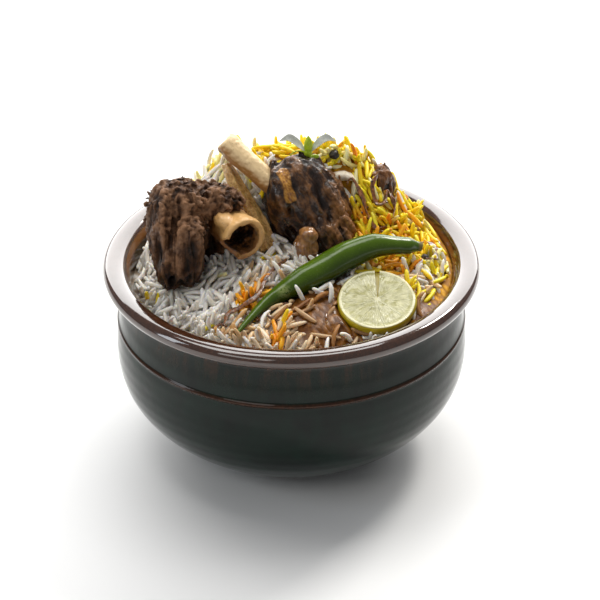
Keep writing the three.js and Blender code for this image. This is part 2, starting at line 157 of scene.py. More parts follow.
class Graph:
    """The node tree of one material, with its output shader."""

    def __init__(self, name: str) -> None:
        """Makes the material with one Principled shader in it.

        Args:
            name: the material's name.
        """
        self.material = bpy.data.materials.new(name)
        self.material.use_nodes = True
        self.tree = self.material.node_tree
        self.tree.nodes.clear()
        self.shader = self.tree.nodes.new("ShaderNodeBsdfPrincipled")
        output = self.tree.nodes.new("ShaderNodeOutputMaterial")
        self.tree.links.new(self.shader.outputs[0], output.inputs[0])

    def node(
        self,
        kind: str,
        settings: Mapping[str, Any] | None = None,
        inputs: Mapping[int | str, Any] | None = None,
        output: int | str = 0,
    ) -> Signal:
        """Adds a node.

        Args:
            kind: the node's type.
            settings: its own settings, set first; "stops" are a ramp's (place, colour) pairs.
            inputs: a value or a Signal for each socket, by its name or number.
            output: the output wanted.

        Returns:
            That output.
        """
        made = self.tree.nodes.new(kind)
        for name, value in (settings or {}).items():
            if name == "stops":
                self._set_stops(made.color_ramp, value)
            else:
                setattr(made, name, value)
        for name, value in (inputs or {}).items():
            self._feed(made.inputs[name], value)
        return Signal(self, made.outputs[output])

    def _set_stops(self, ramp: bpy.types.ColorRamp, stops: Sequence[tuple[float, Colour]]) -> None:
        """Gives a ramp its stops.

        Args:
            ramp: the ramp.
            stops: its (place, colour) pairs.
        """
        while len(ramp.elements) < len(stops):
            ramp.elements.new(0.5)
        for element, (place, colour) in zip(ramp.elements, stops):
            element.position = place
            element.color = (*colour, 1)

    def _feed(self, socket: bpy.types.NodeSocket, value: Any) -> None:
        """Links a Signal to a socket, or sets the socket's own value.

        Args:
            socket: the socket.
            value: a Signal, a colour or a number.
        """
        if isinstance(value, Signal):
            self.tree.links.new(value.socket, socket)
        elif isinstance(value, tuple) and socket.type == "RGBA":
            socket.default_value = (*value[:3], 1)
        else:
            socket.default_value = value

    def place(self, centre: Point = (0, 0, 0), turn: Point = (0, 0, 0), size: Point = (1, 1, 1)) -> Signal:
        """Object coordinates in a frame of their own.

        Args:
            centre: the frame's origin.
            turn: its rotation, in radians.
            size: its unit along each axis.

        Returns:
            The coordinates as a vector.
        """
        bare = self.node("ShaderNodeTexCoord", output="Object")
        inputs = {"Vector": bare, "Location": centre, "Rotation": turn, "Scale": size}
        return self.node("ShaderNodeMapping", {"vector_type": "TEXTURE"}, inputs)

    def split(self, vector: Signal) -> tuple[Signal, Signal, Signal]:
        """The x, y and z of a vector."""
        x = self.node("ShaderNodeSeparateXYZ", inputs={0: vector})
        return x, x.sibling("Y"), x.sibling("Z")

    def noise(self, vector: Signal, size: float, detail: float = 3, rough: float = 0.55) -> Signal:
        """Cloudy noise from 0 to 1 with features of about that size in metres."""
        inputs = {"Vector": vector, "Scale": 1 / size, "Detail": detail, "Roughness": rough}
        return self.node("ShaderNodeTexNoise", {}, inputs)

    def cells(self, vector: Signal, size: float) -> Signal:
        """Distance to the nearest of scattered points about size metres apart."""
        return self.node("ShaderNodeTexVoronoi", {}, {"Vector": vector, "Scale": 1 / size})

    def mix(self, share: Signal | float, first: Any, second: Any, blend: str = "MIX") -> Signal:
        """A colour between two, or one blended over the other."""
        settings = {"data_type": "RGBA", "blend_type": blend, "clamp_factor": True}
        return self.node("ShaderNodeMix", settings, {0: share, 6: first, 7: second}, output=2)

    def ramp(self, share: Signal, *stops: tuple[float, Colour]) -> Signal:
        """The colour at share along the stops."""
        return self.node("ShaderNodeValToRGB", {"stops": stops}, {0: share})

    def attribute(self, name: str, output: str = "Fac") -> Signal:
        """A value or colour that the mesh carries."""
        return self.node("ShaderNodeAttribute", {"attribute_name": name}, output=output)

    def bump(
        self, height: Signal, depth: float, strength: float = 1.0, under: Signal | None = None
    ) -> Signal:
        """A normal pushed by height, whose full swing is depth metres.

        Args:
            height: the height, from 0 to 1.
            depth: how far that is.
            strength: the share of it that shows.
            under: a normal that it is laid over.

        Returns:
            The normal.
        """
        inputs: dict[int | str, Any] = {"Height": height, "Distance": depth, "Strength": strength}
        if under is not None:
            inputs["Normal"] = under
        return self.node("ShaderNodeBump", {}, inputs)

    def finish(self, **sockets: Any) -> Material:
        """Feeds the shader's sockets, named with _ for a space, and returns the material.

        Args:
            **sockets: a value or a Signal for each socket.

        Returns:
            The material.
        """
        for name, value in sockets.items():
            self._feed(self.shader.inputs[name.replace("_", " ").title().replace("Ior", "IOR")], value)
        return self.material


# ---- Finishes ----


@dataclass(frozen=True)
class GlazeFinish:
    """Bottle-green glaze that breaks to brown on the lip and on the raised line."""

    deep: Colour = (0.0014, 0.0036, 0.0022)
    green: Colour = (0.0030, 0.0135, 0.0080)
    brown: Colour = (0.034, 0.0115, 0.0045)
    amber: Colour = (0.15, 0.058, 0.014)
    inside: Colour = (0.030, 0.021, 0.008)
    clay: Colour = (0.16, 0.10, 0.065)
    lip_from: float = 83.6 * MM
    bead: float = 63.3 * MM
    mouth: float = 74.2 * MM
    foot: float = 0.9 * MM

    def material(self) -> Material:
        """Builds the glaze.

        Returns:
            The material.
        """
        graph = Graph("bottle green glaze")
        here = graph.place()
        x, y, z = graph.split(here)
        radius = (x * x + y * y).root()
        cloud = graph.noise(here, 14 * MM, 4, 0.6)
        speck = graph.noise(here, 1.6 * MM, 2, 0.7)
        runs = graph.noise(graph.place(size=(1, 1, 6)), 5 * MM, 3, 0.6)
        body = graph.ramp(cloud * 0.6 + runs * 0.4, (0.34, self.deep), (0.62, self.green))
        shoulder = z.step(66 * MM, 80 * MM) * runs.step(0.42, 0.66) * 0.6
        ridge = (abs(z - self.bead)).step(1.7 * MM, 0.5 * MM) * radius.step(76 * MM, 77 * MM)
        lip = (z + cloud * (3 * MM)).step(self.lip_from, self.lip_from + 2.4 * MM)
        brown = graph.mix(speck.step(0.35, 0.7), self.brown, tuple(1.7 * part for part in self.brown))
        colour = graph.mix(shoulder, body, brown)
        colour = graph.mix(ridge * 0.85, colour, brown)
        colour = graph.mix(lip, colour, brown)
        well = (radius + cloud * MM).step(self.mouth + 1.6 * MM, self.mouth) * graph.attribute("inner")
        colour = graph.mix(well, colour, graph.mix(cloud.step(0.3, 0.7), self.inside, self.brown))
        edge = (radius + speck * (0.6 * MM)).step(74.9 * MM, 74.3 * MM) * z.step(85.5 * MM, 88 * MM)
        colour = graph.mix(edge * 0.9, colour, self.amber)
        bare = z.step(self.foot, 0.3 * MM)
        colour = graph.mix(bare, colour, self.clay)
        ripple = (z * 1100).sine() * 0.14 + cloud * 1.2
        dimples = graph.bump(ripple, 0.5 * MM, 0.35)
        wet_lip = z.step(79 * MM, 85 * MM) * radius.step(74.4 * MM, 76 * MM)
        return graph.finish(
            base_color=colour,
            roughness=0.07 + speck * 0.10 + bare * 0.6,
            coat_weight=wet_lip * 0.9 + 0.05 * (1 - bare),
            normal=graph.bump(speck, 0.04 * MM, 0.25, dimples),
            coat_roughness=0.06,
            coat_ior=1.8,
            specular_ior_level=0.2,
        )


@dataclass(frozen=True)
class GrainFinish:
    """Cooked rice: each grain carries its own tint, paler and drier in random patches."""

    name: str
    sheen: float = 0.36

    def material(self) -> Material:
        """Builds the rice's finish.

        Returns:
            The material.
        """
        graph = Graph(self.name)
        here = graph.place()
        tint = graph.attribute("tint", "Color")
        patch = graph.noise(here, 2.6 * MM, 3, 0.6)
        darkening = graph.mix(patch.step(0.25, 0.75), (0.90, 0.86, 0.80), (1.0, 1.0, 1.0))
        colour = graph.mix(0.75, tint, graph.mix(1.0, tint, darkening, "MULTIPLY"))
        streak = graph.noise(here, 0.5 * MM, 2, 0.6)
        return graph.finish(
            base_color=colour,
            roughness=self.sheen - 0.08 + patch * 0.22,
            normal=graph.bump(streak, 0.12 * MM, 0.35),
            subsurface_weight=0.4,
            subsurface_radius=(2.0, 1.5, 0.9),
            subsurface_scale=1.2 * MM,
            ior=1.42,
        )


@dataclass(frozen=True)
class BedFinish:
    """Rice packed under the grains that show, with painted shade in the gaps of a grain pattern, soaked with
    gravy where the dish holds it.
    """

    name: str = "packed rice and gravy"

    def material(self) -> Material:
        """Builds the bed's finish.

        Returns:
            The material.
        """
        graph = Graph(self.name)
        here = graph.place()
        tint = graph.attribute("tint", "Color")
        wet = graph.attribute("wet")
        # painted shade: the bed's tint darkens towards the gaps between the cells of a grain pattern,
        # standing in for the rice deeper down
        grains = graph.cells(graph.place(turn=(0.3, 0.2, 0.5), size=(1, 2.4, 1.6)), 2.4 * MM)
        shade = grains.step(0.05, 0.75)
        dark = graph.mix(1.0, tint, (0.42, 0.34, 0.26), "MULTIPLY")
        oil = graph.noise(here, 3.2 * MM, 4, 0.65)
        lit = graph.mix(shade, tint, dark)
        lit = graph.mix(wet * oil.step(0.45, 0.7) * 0.7, lit, (0.36, 0.15, 0.022))
        return graph.finish(
            base_color=lit,
            roughness=0.6 - wet * 0.28,
            coat_weight=wet * 0.22,
            normal=graph.bump(oil * 0.5 - shade, 0.9 * MM, 0.6),
            coat_roughness=0.12,
            specular_ior_level=0.22,
        )


@dataclass(frozen=True)
class MeatFinish:
    """Slow-cooked meat: painted shade in its gaps and creases and painted light on its raised ribs, paler on
    torn fibres, with patches of sauce and fat.
    """

    name: str
    dark: Colour = (0.0070, 0.0028, 0.0010)
    middle: Colour = (0.060, 0.0225, 0.0068)
    pale: Colour = (0.30, 0.145, 0.062)
    sauce: float = 0.5
    fibres: Point = (0.0, 0.0, 0.0)
    paler_where_torn: float = 0.12
    fat_light: Colour = (0.62, 0.30, 0.050)
    fat_deep: Colour = (0.24, 0.085, 0.012)
    coat_rough: float = 0.17

    def material(self) -> Material:
        """Builds the meat's finish.

        Returns:
            The material.
        """
        graph = Graph(self.name)
        here = graph.place()
        relief = graph.attribute("relief")
        torn = graph.attribute("torn")
        strands = graph.noise(graph.place(turn=self.fibres, size=(1, 1, 7)), 0.8 * MM, 4, 0.65)
        cloud = graph.noise(here, 5 * MM, 4, 0.6)
        speck = graph.noise(here, 0.9 * MM, 2, 0.7)
        # painted shade and light: the colour follows the stored relief, darker in low places and creases and
        # paler on the raised ribs
        level = relief * 0.62 + strands * 0.3 + (cloud - 0.5) * 0.34
        level = level + torn * self.paler_where_torn + (speck - 0.5) * 0.1
        colour = graph.ramp(
            level,
            (0.30, self.dark),
            (0.50, self.middle),
            (0.68, tuple(0.45 * m + 0.55 * p for m, p in zip(self.middle, self.pale))),
            (0.84, self.pale),
        )
        fat = (graph.attribute("fat") + (cloud - 0.5) * 0.5).step(0.40, 0.62)
        marbled = graph.mix(strands.step(0.35, 0.65), self.fat_deep, self.fat_light)
        colour = graph.mix(fat * 0.9, colour, marbled)
        glossy = (cloud * 0.7 + speck * 0.3).step(0.40, 0.60) * (1 - torn * 0.75)
        fine = graph.bump(strands, 0.55 * MM, 0.8)
        return graph.finish(
            base_color=colour,
            roughness=0.62 - glossy * (0.42 * self.sauce),
            coat_weight=glossy * (0.8 * self.sauce),
            normal=graph.bump(speck, 0.25 * MM, 0.6, fine),
            coat_roughness=self.coat_rough,
            specular_ior_level=0.3,
            ior=1.45,
        )


@dataclass(frozen=True)
class BoneFinish:
    """Cooked bone: cream on its upper side and tan lower down as painted shade, with fine pores."""

    name: str
    cream: Colour = (0.66, 0.38, 0.135)
    tan: Colour = (0.27, 0.105, 0.026)
    marrow: Colour = (0.010, 0.0038, 0.0016)

    def material(self) -> Material:
        """Builds the bone's finish.

        Returns:
            The material.
        """
        graph = Graph(self.name)
        here = graph.place()
        hollow = graph.attribute("hollow")
        darkening = graph.attribute("darkening")
        cloud = graph.noise(here, 4 * MM, 4, 0.6)
        fine = graph.noise(here, 0.7 * MM, 3, 0.7)
        pores = graph.cells(here, 0.9 * MM).step(0.22, 0.08) * cloud.step(0.42, 0.6)
        # painted shade: tan on the lower and downward-facing sides, cream above
        colour = graph.mix((darkening + (cloud - 0.5) * 0.9).step(0.2, 0.9), self.cream, self.tan)
        colour = graph.mix(pores * 0.55, colour, self.marrow)
        # the bore and pits take the marrow's own dark colour, with painted shade deepening into the bore
        colour = graph.mix(hollow, colour, graph.mix(cloud.step(0.4, 0.7), self.marrow, self.tan))
        return graph.finish(
            base_color=colour,
            roughness=0.34 + fine * 0.25,
            coat_weight=0.15 + cloud.step(0.45, 0.7) * 0.35,
            normal=graph.bump(fine - pores * 0.6, 0.22 * MM, 0.7),
            coat_roughness=0.2,
        )


@dataclass(frozen=True)
class TissueFinish:
    """Sinew or fat: amber, streaked along its run, wet."""

    name: str
    light: Colour
    deep: Colour
    run: Point = (0.0, 0.0, 0.0)

    def material(self) -> Material:
        """Builds the tissue's finish.

        Returns:
            The material.
        """
        graph = Graph(self.name)
        here = graph.place()
        streaks = graph.noise(graph.place(turn=self.run, size=(1, 1, 9)), 0.9 * MM, 3, 0.6)
        cloud = graph.noise(here, 4 * MM, 3, 0.6)
        colour = graph.ramp(streaks * 0.55 + cloud * 0.45, (0.36, self.deep), (0.62, self.light))
        return graph.finish(
            base_color=colour,
            roughness=0.22 + streaks * 0.25,
            coat_weight=0.45 + cloud * 0.5,
            normal=graph.bump(streaks, 0.35 * MM, 0.7),
            coat_roughness=0.1,
            subsurface_weight=0.15,
            subsurface_radius=(1.4, 0.8, 0.4),
            subsurface_scale=1.0 * MM,
        )


@dataclass(frozen=True)
class ChilliFinish:
    """Waxy green skin, lighter on top and darker underneath as painted light and shade, with a pale patch as
    a painted highlight and a dry cut stem.
    """

    light: Colour = (0.066, 0.125, 0.0016)
    deep: Colour = (0.010, 0.030, 0.0006)
    highlight_green: Colour = (0.40, 0.46, 0.16)
    stem: Colour = (0.30, 0.22, 0.08)
    patch: Point = (-3.2 * MM, -37.0 * MM, 97.6 * MM)
    stem_from: float = 57.0 * MM

    def material(self) -> Material:
        """Builds the chilli's skin.

        Returns:
            The material.
        """
        graph = Graph("green chilli skin")
        here = graph.place()
        x, _, _ = graph.split(here)
        cloud = graph.noise(here, 9 * MM, 3, 0.5)
        fine = graph.noise(here, 1.1 * MM, 3, 0.7)
        # painted light and shade: the skin is lighter where it faces up and darker where it faces down
        painted_top_light = graph.attribute("painted_top_light")
        colour = graph.ramp(cloud * 0.4 + painted_top_light * 0.6, (0.30, self.deep), (0.85, self.light))
        # painted highlight: a pale irregular patch at one place on the skin, which is also made rougher
        from_patch = graph.place(self.patch)
        near = graph.node("ShaderNodeVectorMath", {"operation": "LENGTH"}, {0: from_patch}, "Value")
        painted_highlight = (near + (fine - 0.5) * (9 * MM)).step(4.2 * MM, 1.6 * MM) * fine.step(0.35, 0.6)
        colour = graph.mix(painted_highlight * 0.55, colour, self.highlight_green)
        dry = (x + fine * MM).step(self.stem_from, self.stem_from + 1.2 * MM)
        colour = graph.mix(dry, colour, graph.mix(fine, self.stem, self.deep))
        dents = graph.bump(cloud, 0.9 * MM, 0.5)
        return graph.finish(
            base_color=colour,
            roughness=0.20 + fine * 0.12 + painted_highlight * 0.2 + dry * 0.4,
            coat_weight=0.4 - dry * 0.4,
            normal=graph.bump(fine, 0.10 * MM, 0.35, dents),
            coat_roughness=0.12,
            specular_ior_level=0.25,
        )


@dataclass(frozen=True)
class LimeFinish:
    """A cut face of segments in a thin pith, inside a yellow-green rind."""

    centre: Point
    tilt: float
    radius: float
    segments: int = 9
    flesh: Colour = (0.53, 0.50, 0.235)
    flesh_deep: Colour = (0.27, 0.255, 0.070)
    membrane: Colour = (0.60, 0.58, 0.34)
    pith: Colour = (0.74, 0.70, 0.42)
    rind: Colour = (0.62, 0.49, 0.014)
    rind_deep: Colour = (0.38, 0.31, 0.008)

    def material(self) -> Material:
        """Builds the lime's cut face and rind.

        Returns:
            The material.
        """
        graph = Graph("cut lime")
        here = graph.place(self.centre, (self.tilt, 0, 0))
        x, y, z = graph.split(here)
        radius = (x * x + y * y).root()
        wobble = graph.noise(here, 5 * MM, 2, 0.5) - 0.5
        angle = x.math("ARCTAN2", y, x) + wobble * 0.22
        gap = abs((angle * (self.segments / 2)).sine()) * radius / (self.segments / 2)
        wall = gap.step(0.34 * MM, 0.10 * MM)
        spoke = graph.node("ShaderNodeCombineXYZ", {}, {0: angle * 26, 1: radius * 260, 2: wobble * 3})
        pulp = graph.node("ShaderNodeTexNoise", {}, {"Vector": spoke, "Scale": 1.0, "Detail": 3.0})
        blotch = graph.noise(here, 3.6 * MM, 4, 0.65)
        juice = graph.ramp(pulp * 0.55 + blotch * 0.45, (0.36, self.flesh_deep), (0.60, self.flesh))
        heart = radius.step(2.0 * MM, 1.0 * MM)
        colour = graph.mix(wall * blotch.step(0.35, 0.6) * 0.55, juice, self.membrane)
        colour = graph.mix(heart, colour, self.pith)
        share = radius / self.radius
        ring = (share + wobble * 0.03).step(0.885, 0.915)
        colour = graph.mix(ring, colour, self.pith)
        oil = graph.cells(here, 1.3 * MM).step(0.35, 0.1)
        skin = graph.mix(graph.noise(here, 6 * MM) * 0.7 + oil * 0.3, self.rind, self.rind_deep)
        outside = share.step(0.955, 0.97)
        outside = outside + (1 - outside) * z.step(-0.4 * MM, -0.8 * MM)
        colour = graph.mix(outside, colour, skin)
        face = 1 - outside
        height = pulp * 0.5 + wall * 0.4 + ring * 0.3
        pulpy = graph.bump(height * face, 0.9 * MM, 0.6)
        return graph.finish(
            base_color=colour,
            roughness=0.30 - face * (1 - ring) * 0.10 + oil * 0.1,
            coat_weight=0.35 * face + 0.2,
            normal=graph.bump(oil * outside, 0.25 * MM, 0.6, pulpy),
            coat_roughness=0.12,
            subsurface_weight=0.12,
            subsurface_radius=(1.2, 1.2, 0.5),
            subsurface_scale=1.2 * MM,
        )


@dataclass(frozen=True)
class CrispFinish:
    """Fried onion, spice or leaf: two tones by cloud and edge, with a set gloss."""

    name: str
    dark: Colour
    light: Colour
    rough: float = 0.35
    coat: float = 0.4
    size: float = 2.2 * MM

    def material(self) -> Material:
        """Builds the crisp finish.

        Returns:
            The material.
        """
        graph = Graph(self.name)
        here = graph.place()
        cloud = graph.noise(here, self.size, 4, 0.6)
        fine = graph.noise(here, self.size * 0.25, 2, 0.6)
        colour = graph.ramp(cloud * 0.75 + fine * 0.25, (0.36, self.dark), (0.64, self.light))
        return graph.finish(
            base_color=colour,
            roughness=self.rough - 0.1 + fine * 0.2,
            coat_weight=cloud * (2 * self.coat),
            normal=graph.bump(fine, 0.2 * MM, 0.6),
            coat_roughness=0.15,
        )


@dataclass(frozen=True)
class FloorFinish:
    """Plain pale floor with a faint mottle."""

    pale: Colour = (0.86, 0.86, 0.855)

    def material(self) -> Material:
        """Builds the floor's finish.

        Returns:
            The material.
        """
        graph = Graph("pale floor")
        cloud = graph.noise(graph.place(), 300 * MM, 2, 0.5)
        colour = graph.mix(cloud, self.pale, tuple(0.985 * part for part in self.pale))
        return graph.finish(base_color=colour, roughness=0.6)


# ---- Modelling ----


@dataclass(frozen=True)
class Mottle:
    """Smooth random relief through space, the same on every run."""

    seed: int

    def at(self, points: Array) -> Array:
        """The relief at points given in cells, from -1 to 1.

        Args:
            points: the places, a row each.

        Returns:
            The relief at each.
        """
        cell = np.floor(points).astype(np.int64)
        part = points - cell
        ease = part * part * (3 - 2 * part)
        total = np.zeros(len(points))
        for corner in itertools.product((0, 1), repeat=3):
            key = (cell + corner) @ np.array([73856093, 19349663, 83492791]) + self.seed * 7919
            key = ((key ^ (key >> 13)) * 1274126177) & 0x7FFFFFFF
            value = ((key ^ (key >> 16)) & 0xFFFF) / 32767.5 - 1
            total += value * np.prod(np.where(corner, ease, 1 - ease), axis=1)
        return total

    def ridged(self, points: Array) -> Array:
        """Sharp crests at 1 that fall away to 0."""
        return 1 - np.abs(self.at(points)) * 1.6


def start_clean() -> None:
    """Leaves edit mode and deselects everything."""
    active = bpy.context.view_layer.objects.active
    if active is not None and active.mode != "OBJECT":
        bpy.ops.object.mode_set(mode="OBJECT")
    bpy.ops.object.select_all(action="DESELECT")


def pick(*objects: Piece) -> Piece:
    """Selects only these objects, the first of them active, and returns that one.

    Args:
        *objects: the objects.

    Returns:
        The first of them.
    """
    start_clean()
    for each in objects:
        each.select_set(True)
    bpy.context.view_layer.objects.active = objects[0]
    return objects[0]


def named(name: str) -> Piece:
    """Names the object just added, sets its size and turn into its mesh and returns it.

    Args:
        name: the new name.

    Returns:
        The object.
    """
    made = bpy.context.view_layer.objects.active
    bpy.ops.object.transform_apply(location=True, rotation=True, scale=True)
    made.name = made.data.name = name
    return made


def primitive(name: str, add: Callable[..., Any], **shape: Any) -> Piece:
    """Adds one of Blender's starting shapes on its own.

    Args:
        name: the new object's name.
        add: the operator that adds it.
        shape: the operator's settings.

    Returns:
        The object, at the origin, with its place in its mesh.
    """
    start_clean()
    add(**shape)
    return named(name)


def modified(piece: Piece, kind: str, **settings: Any) -> Piece:
    """Adds a modifier with its settings and applies it.

    Args:
        piece: the mesh.
        kind: the modifier's type.
        **settings: its settings.

    Returns:
        The same piece.
    """
    pick(piece)
    modifier = piece.modifiers.new(kind.lower(), kind)
    for name, value in settings.items():
        setattr(modifier, name, value)
    bpy.ops.object.modifier_apply(modifier=modifier.name)
    return piece


def joined(name: str, pieces: Sequence[Piece]) -> Piece:
    """Joins several objects into one mesh.

    Args:
        name: the name of the whole.
        pieces: the objects.

    Returns:
        The one mesh.
    """
    whole = pick(*pieces)
    if len(pieces) > 1:
        bpy.ops.object.join()
    whole.name = whole.data.name = name
    return whole


def points_of(piece: Piece) -> Array:
    """The places of a mesh's vertices.

    Args:
        piece: the mesh.

    Returns:
        A row for each vertex, in metres.
    """
    flat = np.empty(len(piece.data.vertices) * 3)
    piece.data.vertices.foreach_get("co", flat)
    return flat.reshape(-1, 3)


def normals_of(piece: Piece) -> Array:
    """The outward directions at a mesh's vertices.

    Args:
        piece: the mesh.

    Returns:
        A row for each vertex.
    """
    flat = np.empty(len(piece.data.vertices) * 3, np.float32)
    piece.data.vertex_normals.foreach_get("vector", flat)
    return flat.reshape(-1, 3).astype(float)


def move_points(piece: Piece, points: Array) -> None:
    """Puts a mesh's vertices at points."""
    piece.data.vertices.foreach_set("co", points.astype(np.float32).ravel())
    piece.data.update()


def raise_points(piece: Piece, rise: Array, start: Array | None = None) -> None:
    """Moves a mesh's vertices outwards.

    Args:
        piece: the mesh.
        rise: how far each vertex moves, in millimetres.
        start: where they stand before it, if that isn't where the mesh has them.
    """
    start = points_of(piece) if start is None else start
    move_points(piece, start + normals_of(piece) * (rise * MM)[:, None])


def melted(piece: Piece, voxel: float, factor: float, rounds: int) -> Piece:
    """Melts what a mesh is made of into one closed skin of small even faces.

    Args:
        piece: the mesh.
        voxel: the size of the faces.
        factor: how strongly the skin is smoothed in each round.
        rounds: how many rounds of smoothing it gets.

    Returns:
        The same piece.
    """
    modified(piece, "REMESH", mode="VOXEL", voxel_size=voxel)
    return modified(piece, "SMOOTH", factor=factor, iterations=rounds)


def rounded_off(piece: Piece) -> Piece:
    """Gives a mesh one level of subdivision."""
    return modified(piece, "SUBSURF", levels=1, render_levels=1)


def carry(piece: Piece, name: str, values: Array) -> None:
    """Stores a value at each vertex, or a colour where values has three columns.

    Args:
        piece: the mesh.
        name: the attribute's name.
        values: a number or a colour for each vertex.
    """
    if values.ndim == 2:
        layer = piece.data.attributes.new(name, "FLOAT_COLOR", "POINT")
        full = np.concatenate([values, np.ones((len(values), 1))], axis=1)
        layer.data.foreach_set("color", full.astype(np.float32).ravel())
    else:
        layer = piece.data.attributes.new(name, "FLOAT", "POINT")
        layer.data.foreach_set("value", values.astype(np.float32))


def facing_out(piece: Piece) -> Piece:
    """Merges doubled vertices and turns the faces outwards.

    Args:
        piece: the closed mesh.

    Returns:
        The same piece.
    """
    pick(piece)
    bpy.ops.object.mode_set(mode="EDIT")
    bpy.ops.mesh.select_all(action="SELECT")
    bpy.ops.mesh.remove_doubles(threshold=1e-6)
    bpy.ops.mesh.normals_make_consistent(inside=False)
    bpy.ops.object.mode_set(mode="OBJECT")
    return piece


def spun(name: str, outline: Sequence[Pair], steps: int) -> Piece:
    """Draws an outline of (radius, height) points and spins it about the Z axis.

    Args:
        name: the mesh's name.
        outline: the points, from the axis round to it again, in metres.
        steps: how many steps make a full turn.

    Returns:
        The closed mesh.
    """
    piece = primitive(name, bpy.ops.mesh.primitive_plane_add, size=MM)
    bpy.ops.object.mode_set(mode="EDIT")
    bpy.ops.mesh.select_all(action="SELECT")
    bpy.ops.mesh.merge(type="CENTER")
    bpy.ops.transform.translate(value=(outline[0][0], 0, outline[0][1]))
    for before, after in zip(outline, outline[1:]):
        step = (after[0] - before[0], 0, after[1] - before[1])
        bpy.ops.mesh.extrude_vertices_move(TRANSFORM_OT_translate={"value": step})
    bpy.ops.mesh.select_all(action="SELECT")
    bpy.ops.mesh.spin(steps=steps, angle=2 * math.pi, center=(0, 0, 0), axis=(0, 0, 1))
    bpy.ops.object.mode_set(mode="OBJECT")
    return facing_out(piece)


def curved(
    start: Sequence[float],
    first: Sequence[float],
    second: Sequence[float],
    end: Sequence[float],
    steps: int,
) -> list[Pair]:
    """Points of a cubic curve in the outline's plane, without its start.

    Args:
        start: where the curve leaves.
        first: the first handle.
        second: the second handle.
        end: where it arrives.
        steps: how many points it takes.

    Returns:
        The points, up to its end.
    """
    a, b, c, d = (np.array(point, float) for point in (start, first, second, end))
    run = []
    for t in np.linspace(0, 1, steps + 1)[1:]:
        s = 1 - t
        run.append(tuple(s**3 * a + 3 * s * s * t * b + 3 * s * t * t * c + t**3 * d))
    return run


def smooth_run(points: Sequence[Point], count: int) -> Array:
    """Evenly numbered places on a smooth line through points.

    Args:
        points: what the line passes through.
        count: how many places it takes.

    Returns:
        A row for each place.
    """
    fixed = np.array(points, float)
    padded = np.vstack([2 * fixed[0] - fixed[1], fixed, 2 * fixed[-1] - fixed[-2]])
    run = []
    for t in np.linspace(0, len(fixed) - 1 - 1e-9, count):
        i = int(t)
        f = t - i
        a, b, c, d = padded[i : i + 4]
        square, cube = (2 * a - 5 * b + 4 * c - d) * f**2, (3 * b - a - 3 * c + d) * f**3
        run.append(0.5 * (2 * b + (c - a) * f + square + cube))
    return np.array(run)


def drawn(
    name: str,
    points: Array,
    radii: Array,
    thickness: float,
    half_width: float = 0.0,
    tilts: Array | None = None,
    roundness: int = 4,
) -> Piece:
    """A rounded rod or strip drawn along a line and made a mesh.

    Args:
        name: the piece's name.
        points: the line.
        radii: how much of the full section there is at each point.
        thickness: half thickness of the full section.
        half_width: flat half width of a strip, or 0 for a rod.
        tilts: turn of the strip about its line at each point, in radians.
        roundness: facets in the rounding.

    Returns:
        The mesh object.
    """
    start_clean()
    bpy.ops.curve.primitive_nurbs_path_add()
    piece = bpy.context.view_layer.objects.active
    data = piece.data
    data.splines.clear()
    spline = data.splines.new("POLY")
    spline.points.add(len(points) - 1)
    spline.points.foreach_set("co", np.column_stack([points, np.ones(len(points))]).ravel())
    spline.points.foreach_set("radius", np.asarray(radii, float))
    if tilts is not None:
        spline.points.foreach_set("tilt", np.asarray(tilts, float))
    data.dimensions = "3D"
    data.twist_mode = "Z_UP"
    data.bevel_depth = thickness
    data.bevel_resolution = roundness
    data.extrude = half_width
    data.use_fill_caps = True
    bpy.ops.object.convert(target="MESH")
    return facing_out(named(name))


def scattered(
    name: str,
    patterns: Sequence[Piece],
    places: Sequence[Matrix],
    tints: Array | None = None,
) -> Piece:
    """Copies small patterns to many places as one mesh.

    Args:
        name: the mesh's name.
        patterns: the modelled shapes, taken in turn.
        places: one matrix for each copy.
        tints: one colour for each copy, carried as "tint".

    Returns:
        The mesh object. The patterns are kept.
    """
    shapes = []
    for pattern in patterns:
        corners = np.array([corner for face in pattern.data.polygons for corner in face.vertices])
        sizes = np.array([len(face.vertices) for face in pattern.data.polygons])
        shapes.append((points_of(pattern), corners, sizes))
    points, corners, sizes, tint, first = [], [], [], [], 0
    for index, place in enumerate(places):
        shape, shape_corners, shape_sizes = shapes[index % len(shapes)]
        turn = np.array(place)
        points.append(shape @ turn[:3, :3].T + turn[:3, 3])
        corners.append(shape_corners + first)
        sizes.append(shape_sizes)
        first += len(shape)
        if tints is not None:
            tint.append(np.repeat(tints[index][None], len(shape), axis=0))
    every, corner, size = np.concatenate(points), np.concatenate(corners), np.concatenate(sizes)
    mesh = bpy.data.meshes.new(name)
    mesh.vertices.add(len(every))
    mesh.vertices.foreach_set("co", every.astype(np.float32).ravel())
    mesh.loops.add(len(corner))
    mesh.loops.foreach_set("vertex_index", corner.astype(np.int32))
    mesh.polygons.add(len(size))
    mesh.polygons.foreach_set("loop_start", np.concatenate([[0], np.cumsum(size)[:-1]]).astype(np.int32))
    mesh.update(calc_edges=True)
    piece = bpy.data.objects.new(name, mesh)
    bpy.context.scene.collection.objects.link(piece)
    if tints is not None:
        carry(piece, "tint", np.concatenate(tint))
    return piece


def remove(*pieces: Piece) -> None:
    """Takes helper objects out of the scene."""
    for piece in pieces:
        bpy.data.objects.remove(piece)


